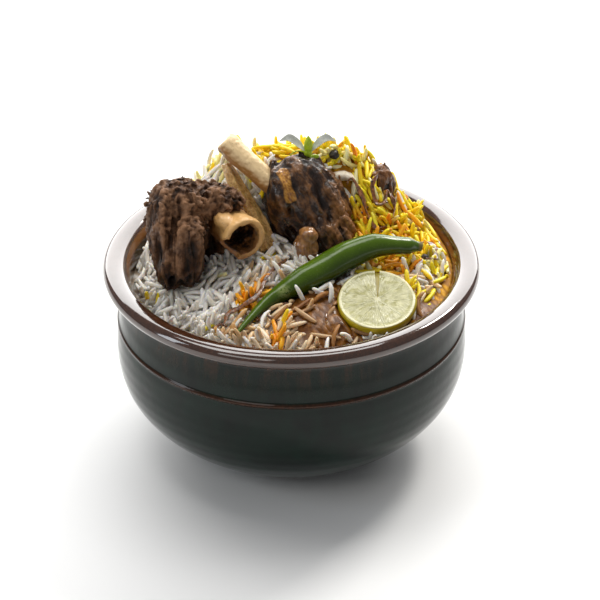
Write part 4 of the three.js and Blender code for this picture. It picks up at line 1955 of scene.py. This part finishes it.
@dataclass
class Bones:
    """The sawn marrow bone and the shank bone's end."""

    marrow_at: Point = (-20.4, -18.5, 112.6)
    marrow_axis: Point = (0.452, -0.893, 0.02)
    shank_at: Point = (-30.2, 20.8, 140.8)
    shank_axis: Point = (-0.74, 0.34, 0.58)
    dimple: Point = (-32.4, 16.6, 136.2)
    flattened: float = 0.92
    radius: float = 10.0
    bore: float = 7.2
    depth: float = 17.0
    length: float = 25.0

    def placed(self, piece: Piece, at: Point, axis: Point) -> Piece:
        """Stands a piece that was modelled along Z at its place in the dish.

        Args:
            piece: the piece.
            at: where its origin goes, in millimetres.
            axis: where its Z axis points.

        Returns:
            The same piece.
        """
        turn = Vector((0, 0, 1)).rotation_difference(Vector(axis).normalized()).to_matrix().to_4x4()
        piece.data.transform(Matrix.Translation(Vector(at) * MM) @ turn)
        return piece

    def marrow_bone(self) -> Piece:
        """The tube with its bore, knuckle and broken lower edge.

        Returns:
            The bone.
        """
        r, bore, depth, length = self.radius, self.bore, self.depth, self.length
        outline = [(0, -length), (r - 4, -length), (r - 2.6, -length + 1.5), (r - 1, -length * 0.75)]
        outline += [(r - 1.2, -length * 0.4), (r - 0.3, -4), (r, -2.0), (r - 0.1, -0.6), (r - 0.8, 0.0)]
        outline += [(bore + 1.2, -0.1), (bore + 0.4, -0.5), (bore, -1.6), (bore - 0.4, -6)]
        outline += [(bore - 0.9, -depth + 2), (bore - 3, -depth), (0, -depth - 0.6)]
        tube = spun("sawn_marrow_bone", [(x * MM, z * MM) for x, z in outline], 64)
        knuckle = primitive(
            "knuckle",
            bpy.ops.mesh.primitive_uv_sphere_add,
            segments=32,
            ring_count=20,
            radius=MM,
            location=(-8.2 * MM, 3.4 * MM, -9 * MM),
            scale=(4.8, 4, 6),
        )
        bite = primitive(
            "bite",
            bpy.ops.mesh.primitive_ico_sphere_add,
            subdivisions=4,
            radius=MM,
            location=(-7.4 * MM, -8.8 * MM, 1.0 * MM),
            scale=(8.4, 7.4, 9.5),
        )
        raise_points(bite, Mottle(8).at(points_of(bite) / (2.2 * MM)))
        drill = primitive(
            "drill",
            bpy.ops.mesh.primitive_cylinder_add,
            vertices=48,
            radius=bore * 0.97 * MM,
            depth=(depth + 4) * MM,
            location=(0, 0, (-depth + 4) / 2 * MM),
        )
        for operation, tool in (("UNION", knuckle), ("DIFFERENCE", drill), ("DIFFERENCE", bite)):
            modified(tube, "BOOLEAN", operation=operation, object=tool)
        remove(knuckle, bite, drill)
        melted(tube, 0.36 * MM, 0.5, 2)
        points = points_of(tube)
        radius = np.hypot(points[:, 0], points[:, 1])
        grit = Mottle(4).at(points / (1.1 * MM)) * 0.16 + Mottle(6).at(points / (3.6 * MM)) * 0.45
        inside = (radius < (bore + 0.35) * MM) & (points[:, 2] < -0.4 * MM)
        inside &= points[:, 2] > -(depth + 2) * MM
        spongy = Mottle(12).at(points / (1.6 * MM)) * 0.55 * inside
        raise_points(tube, grit + spongy)
        # painted shade: the bore darkens with depth over its first 4.5 mm, over the marrow's own colour
        deep = np.clip(-points[:, 2] / (4.5 * MM), 0, 1) * inside
        # painted shade: darker further from the sawn end, on the tube's lower side and inside the bore
        low = np.clip((-points[:, 2] / MM - 3) / 12, 0, 1) * 0.7
        low += np.clip(-points[:, 1] / (8 * MM), 0, 1) * 0.75
        carry(tube, "hollow", deep)
        carry(tube, "darkening", np.clip(low + inside * 0.5, 0, 1))
        self.placed(tube, self.marrow_at, self.marrow_axis)
        return settle(tube, Slot.BONE, BoneFinish("marrow bone").material(), ["marrow_bone"], 70)

    def shank_bone(self) -> Piece:
        """The shaft, widening to its sawn end with a pit in it.

        Returns:
            The bone.
        """
        outline = [(0, -34), (3.8, -34), (4.6, -33), (5.2, -27), (5.4, -20), (5.5, -12), (5.8, -6)]
        outline += [(6.0, -3), (5.9, -1.4), (5.6, -0.5), (4.9, 0.0), (3.4, 0.1), (2.3, -0.3)]
        outline += [(1.8, -1.6), (0.8, -2.2), (0, -2.3)]
        shaft = spun("shank_bone_end", [(x * MM, z * MM) for x, z in outline], 56)
        melted(shaft, 0.34 * MM, 0.5, 2)
        points = points_of(shaft)
        radius = np.hypot(points[:, 0], points[:, 1])
        grit = Mottle(14).at(points / (1.2 * MM)) * 0.14
        grit += Mottle(15).at(points / MM / np.array([2.4, 2.4, 9])) * 0.4
        points[:, 0] *= self.flattened
        raise_points(shaft, grit, points)
        pit = (radius < 2.0 * MM) & (points[:, 2] > -3 * MM)
        pit = pit * np.clip(-points[:, 2] / (0.6 * MM), 0, 1)
        self.placed(shaft, self.shank_at, self.shank_axis)
        points = points_of(shaft)
        dimple = np.exp(-((np.linalg.norm(points / MM - np.array(self.dimple), axis=1) / 2.4) ** 2))
        raise_points(shaft, -(dimple * 1.4))
        # the pit and the dimple take the marrow's own dark colour, with painted shade deepening into the pit
        carry(shaft, "hollow", np.clip(pit + dimple * 1.3, 0, 1))
        # painted shade: the shank is darker on its downward-facing sides
        carry(shaft, "darkening", np.clip(0.72 - 0.85 * normals_of(shaft)[:, 2], 0, 1))
        finish = BoneFinish("shank bone", cream=(0.82, 0.60, 0.32), tan=(0.40, 0.185, 0.048))
        return settle(shaft, Slot.BONE, finish.material(), ["shank_bone"], 70)

    def build(self) -> list[Piece]:
        """Builds both bones."""
        return [self.marrow_bone(), self.shank_bone()]


@dataclass
class Tissue:
    """The sinew off the shank bone and the knob of fat on the middle chunk."""

    run: Sequence[Point] = (
        (-29.5, 17.5, 131), (-25, 12.5, 124), (-19.5, 7.5, 115), (-13.5, 2, 105), (-10.5, -1, 97),
    )

    def sinew(self) -> Piece:
        """A flat band that fans out, frayed into strands along its edges.

        Returns:
            The band.
        """
        rng = np.random.default_rng(5)
        line = smooth_run(self.run, 40) * MM
        share = np.linspace(0, 1, len(line))
        strips = []
        for strand in range(9):
            across = (strand - 4) / 4
            spread = (2.4 + 3.6 * np.sin(2.4 * share)) * across * 0.8
            wave = 0.5 * np.sin(share * 9 + strand * 1.7)
            fold = 1.3 * np.cos(across * 4.2)
            offset = np.stack([spread * 0.75 + wave * 0.3, spread * 0.45 - fold, wave + fold * 0.6], axis=1)
            bulge = np.sin(math.pi * np.clip(share * 0.94 + 0.03, 0, 1))
            radii = (0.55 + 0.45 * bulge) * rng.uniform(0.6, 1.15)
            strips.append(drawn("strand", line + offset * MM, radii, 1.15 * MM, 0.25 * MM, None, 2))
        whole = joined("sinew_band", strips)
        melted(whole, 0.42 * MM, 0.5, 2)
        raise_points(whole, Mottle(21).at(points_of(whole) / (1.6 * MM)) * 0.22)
        finish = TissueFinish("sinew", (0.84, 0.54, 0.19), (0.40, 0.18, 0.035), (0.6, -0.5, 0))
        return settle(whole, Slot.SINEW, finish.material(), ["sinew_strip"], 80)

    def fat(self) -> Piece:
        """A soft knob of fat low on the front of the middle chunk.

        Returns:
            The knob.
        """
        parts = []
        for at, half in (((6.6, -8.6, 103.4), (5.2, 4.8, 8)), ((7.4, -9.4, 109.6), (4.8, 3.8, 4.2))):
            place = tuple(value * MM for value in at)
            shape = {"segments": 32, "ring_count": 20, "radius": MM, "location": place, "scale": half}
            parts.append(primitive("fat", bpy.ops.mesh.primitive_uv_sphere_add, **shape))
        whole = joined("fat_knob_soft", parts)
        melted(whole, 0.5 * MM, 0.6, 4)
        points = points_of(whole)
        swell = Mottle(22).at(points / (3.2 * MM)) * 1.3 + Mottle(23).at(points / (1.2 * MM)) * 0.25
        raise_points(whole, swell)
        finish = TissueFinish("soft fat", (0.44, 0.20, 0.055), (0.13, 0.046, 0.012))
        return settle(whole, Slot.FAT, finish.material(), ["fat_knob"], 80)

    def build(self) -> list[Piece]:
        """Builds the sinew and the fat."""
        return [self.sinew(), self.fat()]


# ---- Chilli, lime and garnish ----


@dataclass
class Chilli:
    """The whole green chilli, from its thin tail to the cut stem."""

    run: Sequence[Point] = (
        (-24.3, -58.2, 88), (-18.1, -48, 90), (-11.6, -38.8, 91.6), (-4, -33, 94.4), (4.5, -28.4, 97.2),
        (15, -22.2, 100.4), (26, -16.6, 103.8), (36.8, -12.6, 106), (47, -10.6, 105.2), (58.4, -7.2, 102.4),
    )
    full: float = 6.6
    thin: float = 0.7

    def build(self) -> Piece:
        """Draws the chilli and gives its skin soft dents.

        Returns:
            The chilli.
        """
        line = smooth_run(self.run, 90)
        share = np.linspace(0, 1, len(line))
        tail = np.minimum(1, share / 0.46) ** 1.25
        head = 1 - 0.62 * (1 - np.minimum(1, (1 - share) / 0.5)) ** 2.2
        radii = self.thin + (self.full - self.thin) * tail * head
        radii[-9:] *= np.array([1.0, 1.03, 1.08, 1.08, 1.0, 0.86, 0.78, 0.76, 0.8])
        piece = drawn("green_chilli", line * MM, radii / self.full, self.full * MM, 0.0, None, 10)
        rounded_off(piece)
        points, outwards = points_of(piece), normals_of(piece)
        dents = Mottle(41).at(points / (11 * MM)) * 0.55 + Mottle(42).at(points / (4 * MM)) * 0.12
        shank = np.clip((points[:, 0] / MM + 30) / 30, 0.15, 1)
        raise_points(piece, dents * shank)
        # painted light and shade: lighter where the skin faces up, darker where it faces down
        carry(piece, "painted_top_light", np.clip(0.5 + 0.5 * outwards[:, 2], 0, 1))
        return settle(piece, Slot.CHILLI, ChilliFinish().material(), ["chilli"], 70)


@dataclass
class LimeSlice:
    """The thick end slice of lime, face up at a slant, slit from its edge to its heart."""

    centre: Point = (37.8, -38.2, 94.0)
    tilt: float = math.radians(17)
    radius: float = 17.6
    thickness: float = 8.0

    def build(self) -> Piece:
        """Turns the slice, slits it and raises its segments.

        Returns:
            The slice.
        """
        r, t = self.radius, self.thickness
        outline = [(0, -t), (r * 0.5, -t), (r * 0.72, -t + 0.1), (r * 0.88, -t + 0.9)]
        outline += [(r * 0.965, -t * 0.6), (r * 0.995, -3.0)]
        outline += [(r, -1.6), (r - 0.15, -0.7), (r - 0.6, -0.12), (r - 1.0, 0.0)]
        outline += [(x, 0.0) for x in np.linspace(r - 1.6, 0, 24)]
        slice_ = spun("cut_lime", [(x * MM, z * MM) for x, z in outline], 144)
        middle = (0.35 * MM, (r / 2 + 2) * MM, 0)
        add = bpy.ops.mesh.primitive_cube_add
        wedge = primitive("slit", add, size=MM, location=middle, scale=(2.8, r + 2, 5.2))
        points = points_of(wedge)
        near = points[:, 1] < r / 2 * MM
        points[:, 0] = np.where(near, (points[:, 0] - 0.35 * MM) * 0.12 + 0.3 * MM, points[:, 0])
        move_points(wedge, points)
        modified(slice_, "BOOLEAN", operation="DIFFERENCE", object=wedge, solver="EXACT")
        remove(wedge)
        points, outwards = points_of(slice_), normals_of(slice_)
        radius = np.hypot(points[:, 0], points[:, 1])
        face = (points[:, 2] > -0.05 * MM) & (radius < 0.86 * r * MM)
        swell = Mottle(51).at(points / (2.2 * MM)) * 0.22 + np.cos(radius / (r * MM) * 2.6) * 0.12
        points[:, 2] += np.where(face, (swell - 0.22) * MM, 0)
        wobble = Mottle(52).at(points / (9 * MM)) * 0.35
        rim = radius > 0.9 * r * MM
        points += outwards * (wobble * rim * MM)[:, None]
        move_points(slice_, points)
        centre = tuple(value * MM for value in self.centre)
        slice_.data.transform(Matrix.Translation(centre) @ Matrix.Rotation(self.tilt, 4, "X"))
        finish = LimeFinish(centre, self.tilt, r * MM)
        return settle(slice_, Slot.LIME, finish.material(), ["lime_slice"], 50)


@dataclass
class FriedOnion:
    """Browned strands of onion, and the crumbs that broke off them."""

    heap: Heap
    strands: Mapping[str, tuple[Sequence[Point], float]] = field(
        default_factory=lambda: {
            "onion_long": (
                [
                    (-2, -17, 2.2), (-10, -25, 2.4), (-15, -37, 2.0),
                    (-22, -43, 2.0), (-28, -45, 1.8), (-30, -56, 1.0),
                ],
                1.2,
            ),
            "onion_short": ([(-34.5, -51, 0.2), (-31.6, -50.4, 1.2), (-28.4, -50.6, 0.2)], 1.1),
            "onion_ribbon": (
                [
                    (25, 17.5, 1), (27.5, 19, 0.8), (31.5, 15.5, 0.8),
                    (34, 10.5, 0.6), (38, 5.5, 0.8), (41, 3.5, 0.4),
                ],
                1.3,
            ),
            "onion_curl": (
                [
                    (39, 23, 0.3), (36.6, 18.5, 1.4), (38.5, 14, 1.6), (42, 15.5, 1.2),
                    (43, 20.5, 1.4), (46.5, 18.5, 0.6), (46, 12, 0.2),
                ],
                1.5,
            ),
            "onion_loop": (
                [(58.5, 5.5, 0.2), (62, 7.5, 1.2), (64.6, 2.5, 1.6), (64.4, -4, 1.2), (60.4, -6.2, 0.2)],
                1.5,
            ),
        }
    )
    crumbs: int = 60
    spots: Sequence[Point] = (
        (6, -50, 17), (-16, -46, 14), (24, -58, 10), (50, 2, 14), (34, 12, 10), (-30, -46, 10),
    )
    crumbs_within: float = 68

    def height(self, x: float, y: float) -> float:
        """Height of the rice there, in millimetres.

        Args:
            x: the place along X, in millimetres.
            y: the same along Y.

        Returns:
            The height.
        """
        i, j = self.heap.cell(x * MM, y * MM)
        around = self.heap.top[max(0, i - 3) : i + 4, max(0, j - 3) : j + 4]
        return float(np.nanmax(around)) / MM

    def build(self) -> list[Piece]:
        """Builds the strands and the crumbs.

        Returns:
            The strands, then the crumbs.
        """
        crisp = CrispFinish("fried onion", (0.020, 0.006, 0.002), (0.30, 0.10, 0.018), 0.26, 0.8, 2.2 * MM)
        finish = crisp.material()
        rng = np.random.default_rng(17)
        finished = []
        for name, (places, width) in self.strands.items():
            path = [(x, y, self.height(x, y) + lift + 1.7) for x, y, lift in places]
            line = smooth_run(path, 12 * len(path))
            share = np.linspace(0, 1, len(line))
            line[:, 2] += 0.35 * np.sin(share * 14 + width * 5)
            ends = 0.5 + 0.5 * np.sin(math.pi * np.clip(share, 0.06, 0.94))
            radii = ends * (1 + 0.2 * np.sin(19 * share))
            tilts = share * 2.6 + 0.8 * np.sin(7 * share)
            strand = drawn(f"fried_{name}", line * MM, radii, 0.5 * MM, width * 0.6 * MM, tilts, 2)
            rounded_off(strand)
            raise_points(strand, Mottle(61).at(points_of(strand) / (1.4 * MM)) * 0.22)
            finished.append(settle(strand, Slot.ONION, finish, [name], 80))
        crumb = primitive("crumb", bpy.ops.mesh.primitive_ico_sphere_add, subdivisions=2, radius=0.5)
        points = points_of(crumb)
        move_points(crumb, points * (1 + 0.5 * Mottle(62).at(points * 3.1)[:, None]))
        places = []
        while len(places) < self.crumbs:
            x0, y0, spread = self.spots[len(places) % len(self.spots)]
            x, y = x0 + rng.normal(0, spread * 0.5), y0 + rng.normal(0, spread * 0.5)
            if math.hypot(x, y) > self.crumbs_within:
                continue
            i, j = self.heap.cell(x * MM, y * MM)
            if self.heap.roof[i, j] < self.heap.top[i, j] + 4 * MM:
                continue
            long, wide, thick = rng.uniform(1.4, 4.6), rng.uniform(0.8, 1.6), rng.uniform(0.5, 0.9)
            size = Matrix.Diagonal((long * MM, wide * MM, thick * MM, 1))
            at = Matrix.Translation((x * MM, y * MM, self.heap.top[i, j] + 0.7 * MM))
            direction = (rng.normal(), rng.normal(), rng.normal(0, 0.25))
            places.append(at @ towards(direction, rng.uniform(0, 3)) @ size)
        flakes = scattered("onion_crumbs", [crumb], places)
        remove(crumb)
        finished.append(settle(flakes, Slot.ONION, finish, [], 80))
        return finished


@dataclass
class Spices:
    """Whole peppercorns caught in the heap."""

    heap: Heap
    corns: Sequence[Point] = (
        (19.4, 27.5, 2.3), (-6.2, -15.0, 1.9), (60.0, -2.4, 1.6), (-46, -40, 1.3),
    )

    def build(self) -> Piece:
        """Builds the peppercorns as one mesh.

        Returns:
            The peppercorns.
        """
        parts = []
        for index, (x, y, radius) in enumerate(self.corns):
            i, j = self.heap.cell(x * MM, y * MM)
            z = float(np.nan_to_num(self.heap.top[i, j], nan=0.09)) + radius * 0.75 * MM
            size = (1.25 if index % 2 else 1.0, 1, 0.9)
            add, at = bpy.ops.mesh.primitive_ico_sphere_add, (x * MM, y * MM, z)
            corn = primitive("corn", add, subdivisions=4, radius=radius * MM, location=at, scale=size)
            raise_points(corn, Mottle(71 + index).ridged(points_of(corn) / (0.8 * MM)) * 0.22)
            parts.append(corn)
        piece = joined("whole_spices", parts)
        finish = CrispFinish("dark spice", (0.006, 0.004, 0.003), (0.035, 0.020, 0.012), 0.45, 0.2, 1.2 * MM)
        return settle(piece, Slot.ONION, finish.material(), [], 80)


@dataclass
class Cashew:
    """The split cashew on the saffron rice."""

    at: Point = (23.2, 21.6, 121.4)

    def build(self) -> Piece:
        """Draws the crescent and flattens its split side.

        Returns:
            The cashew.
        """
        line = smooth_run([(-5, -1.6, 0), (-2.6, 1, 0.4), (1.6, 1.2, 0.4), (5, -1.4, 0)], 28)
        radii = (0.5 + 2.4 * np.sqrt(np.sin(math.pi * np.linspace(0, 1, 28)).clip(0))) / 2.9
        piece = drawn("split_cashew", (line + np.array(self.at)) * MM, radii, 2.7 * MM, 0.0, None, 6)
        rounded_off(piece)
        points = points_of(piece)
        middle = self.at[2] * MM
        points[:, 2] = middle + (points[:, 2] - middle) * 0.8
        raise_points(piece, Mottle(81).at(points / (1.6 * MM)) * 0.18, points)
        finish = CrispFinish("cashew", (0.62, 0.50, 0.33), (0.86, 0.79, 0.66), 0.5, 0.1, 3 * MM)
        return settle(piece, Slot.CASHEW, finish.material(), ["cashew"], 80)


@dataclass
class HerbSprig:
    """The sprig on top: a stalk, a pointed bud and two pale leaves that curl over."""

    at: Point = (7.4, 18.0, 134.0)
    buds: Sequence[tuple[float, float, float, float, float]] = (
        (0.2, 6.6, 2.0, 4.6, 0.0), (0.0, 2.6, 1.9, 2.2, 0.1), (2.4, 0.2, 1.3, 2.9, 1.3),
    )

    def leaf(self, side: int) -> Piece:
        """One leaf, cupped along its midrib.

        Args:
            side: -1 for the left leaf, 1 for the right one.

        Returns:
            The leaf.
        """
        run = [(0.6 * side, 0, 2.4), (4.2 * side, 0.5, 6.6), (8.6 * side, 1, 9.2), (12.6 * side, 1.2, 8)]
        line = smooth_run(run, 30)
        share = np.linspace(0, 1, 30)
        widths = 0.2 + 1.9 * np.sin(math.pi * share**0.8).clip(0)
        add = bpy.ops.mesh.primitive_grid_add
        blade = primitive("leaf", add, x_subdivisions=29, y_subdivisions=8, size=1)
        points = points_of(blade)
        along = np.clip(np.rint((points[:, 0] + 0.5) * 29).astype(int), 0, 29)
        across = 2 * points[:, 1]
        centre = line[along]
        lift = 0.55 * across**2 * widths[along] * 0.5 + 0.08 * np.sin(12 * share[along])
        width = across * widths[along]
        placed = centre + np.stack([np.zeros(len(across)), 0.6 * width, 0.8 * width + lift], axis=1)
        move_points(blade, (placed + np.array(self.at)) * MM)
        return modified(blade, "SOLIDIFY", thickness=0.35 * MM, offset=0)

    def build(self) -> list[Piece]:
        """Builds the leaves, and the stalk with its bud.

        Returns:
            The leaves, then the stalk.
        """
        leaves = joined("herb_leaves", [self.leaf(-1), self.leaf(1)])
        facing_out(leaves)
        rounded_off(leaves)
        base = np.array(self.at)
        stalk_line = smooth_run([(3.6, -1.6, -1.2), (1.4, -0.6, 0.2), (0, 0, 2.4), (0.2, 0.1, 5)], 20) + base
        stalk = drawn("stalk", stalk_line * MM, np.linspace(1.0, 0.8, 20), 0.9 * MM)
        tendril_run = [(-1.5, -0.6, 3.2), (-4.5, -1.4, 4.2), (-7.2, -2.2, 3.2), (-8.6, -3.0, 1.4)]
        tendril_line = smooth_run(tendril_run, 16) + base
        tendril = drawn("tendril", tendril_line * MM, np.linspace(1.0, 0.5, 16), 0.38 * MM)
        buds = []
        for x, z, wide, tall, lean in self.buds:
            bud = primitive(
                "bud",
                bpy.ops.mesh.primitive_uv_sphere_add,
                segments=20,
                ring_count=16,
                radius=MM,
                location=((base[0] + x) * MM, (base[1] - 0.2) * MM, (base[2] + z) * MM),
                scale=(wide, wide * 0.7, tall),
                rotation=(0, lean, 0),
            )
            points = points_of(bud)
            top = np.clip((points[:, 2] / MM - (base[2] + z)) / tall, -1, 1)
            pinch = 1 - 0.55 * np.clip(top, 0, 1) ** 2
            middle = (base[0] + x + lean * top * tall * 0.5) * MM
            points[:, 0] = middle + (points[:, 0] - middle) * pinch
            move_points(bud, points)
            buds.append(bud)
        green = joined("herb_bud", [stalk, tendril, *buds])
        leaf_finish = CrispFinish("pale leaf", (0.42, 0.44, 0.38), (0.66, 0.67, 0.62), 0.45, 0.1, 3 * MM)
        bud_finish = CrispFinish("green bud", (0.28, 0.43, 0.008), (0.52, 0.64, 0.012), 0.45, 0.1, 2 * MM)
        return [
            settle(leaves, Slot.HERB, leaf_finish.material(), [], 80),
            settle(green, Slot.HERB, bud_finish.material(), ["herb_sprig"], 80),
        ]


# ---- The studio ----


@dataclass(frozen=True)
class SoftBox:
    """A rectangular light aimed at the dish: its place, size, power and colour."""

    name: str
    at: Point
    size: Pair
    power: float
    colour: Colour = (1.0, 1.0, 1.0)

    def build(self, aim: Point) -> None:
        """Hangs the light.

        Args:
            aim: the point that it shines at.
        """
        start_clean()
        bpy.ops.object.light_add(type="AREA", location=self.at)
        light = bpy.context.view_layer.objects.active
        light.name = self.name
        light.data.shape = "RECTANGLE"
        light.data.size, light.data.size_y = self.size
        light.data.energy = self.power
        light.data.color = self.colour
        light.rotation_euler = (Vector(aim) - Vector(self.at)).to_track_quat("-Z", "Y").to_euler()


@dataclass
class Studio:
    """The pale floor, the lights, the surroundings and the camera."""

    aim: Point = (0.0, 0.0, 88.8 * MM)
    elevation: float = math.radians(31)
    distance: float = 1.6
    lens: float = 212.9
    shift: Pair = (0.0145, -0.0592)
    floor_size: float = 8.0
    floor_drop: float = 0.0002
    room_colour: Colour = (0.97, 0.98, 1.0)
    room_strength: float = 0.26
    lights: Sequence[SoftBox] = (
        SoftBox("back window", (0.0, 1.75, 0.95), (3.2, 1.4), 62.0, (1.0, 0.99, 0.975)),
        SoftBox("overhead", (-0.15, 0.35, 1.7), (1.5, 0.7), 16.0, (1.0, 0.99, 0.97)),
        SoftBox("back key", (0.75, 0.85, 1.25), (0.35, 0.35), 13.0, (1.0, 0.97, 0.92)),
        SoftBox("left window", (-1.15, -0.35, 0.55), (0.28, 0.75), 3.0, (0.86, 0.93, 1.0)),
        SoftBox("front fill", (-0.7, -1.3, 1.3), (0.9, 0.6), 3.5, (1.0, 0.97, 0.93)),
    )

    def build(self) -> None:
        """Sets up the studio."""
        add = bpy.ops.mesh.primitive_plane_add
        floor = primitive("floor", add, size=self.floor_size, location=(0, 0, -self.floor_drop))
        floor.data.materials.append(FloorFinish().material())
        for light in self.lights:
            light.build(self.aim)
        world = bpy.data.worlds.new("soft room")
        bpy.context.scene.world = world
        world.use_nodes = True
        surroundings = world.node_tree.nodes["Background"].inputs
        surroundings["Color"].default_value = (*self.room_colour, 1)
        surroundings["Strength"].default_value = self.room_strength
        start_clean()
        back = Vector((0, -math.cos(self.elevation), math.sin(self.elevation)))
        bpy.ops.object.camera_add(location=Vector(self.aim) + back * self.distance)
        camera = bpy.context.view_layer.objects.active
        camera.rotation_euler = (-back).to_track_quat("-Z", "Y").to_euler()
        camera.data.lens = self.lens
        camera.data.shift_x, camera.data.shift_y = self.shift
        camera.data.clip_start = 0.05
        bpy.context.scene.camera = camera
        bpy.context.scene.view_settings.view_transform = "Standard"
        log.info("studio: %d lights", len(self.lights))


def main() -> None:
    """Builds the dish and the studio."""
    logging.basicConfig(level=logging.INFO, format="%(message)s")
    Bowl().build()
    heap = Heap()
    RiceBed(heap).build()
    RiceGrains(heap).build()
    MeatOnTheBone().build()
    Bones().build()
    Tissue().build()
    Chilli().build()
    LimeSlice().build()
    FriedOnion(heap).build()
    Spices(heap).build()
    Cashew().build()
    HerbSprig().build()
    Studio().build()
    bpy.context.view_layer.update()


if __name__ == "__main__":
    main()
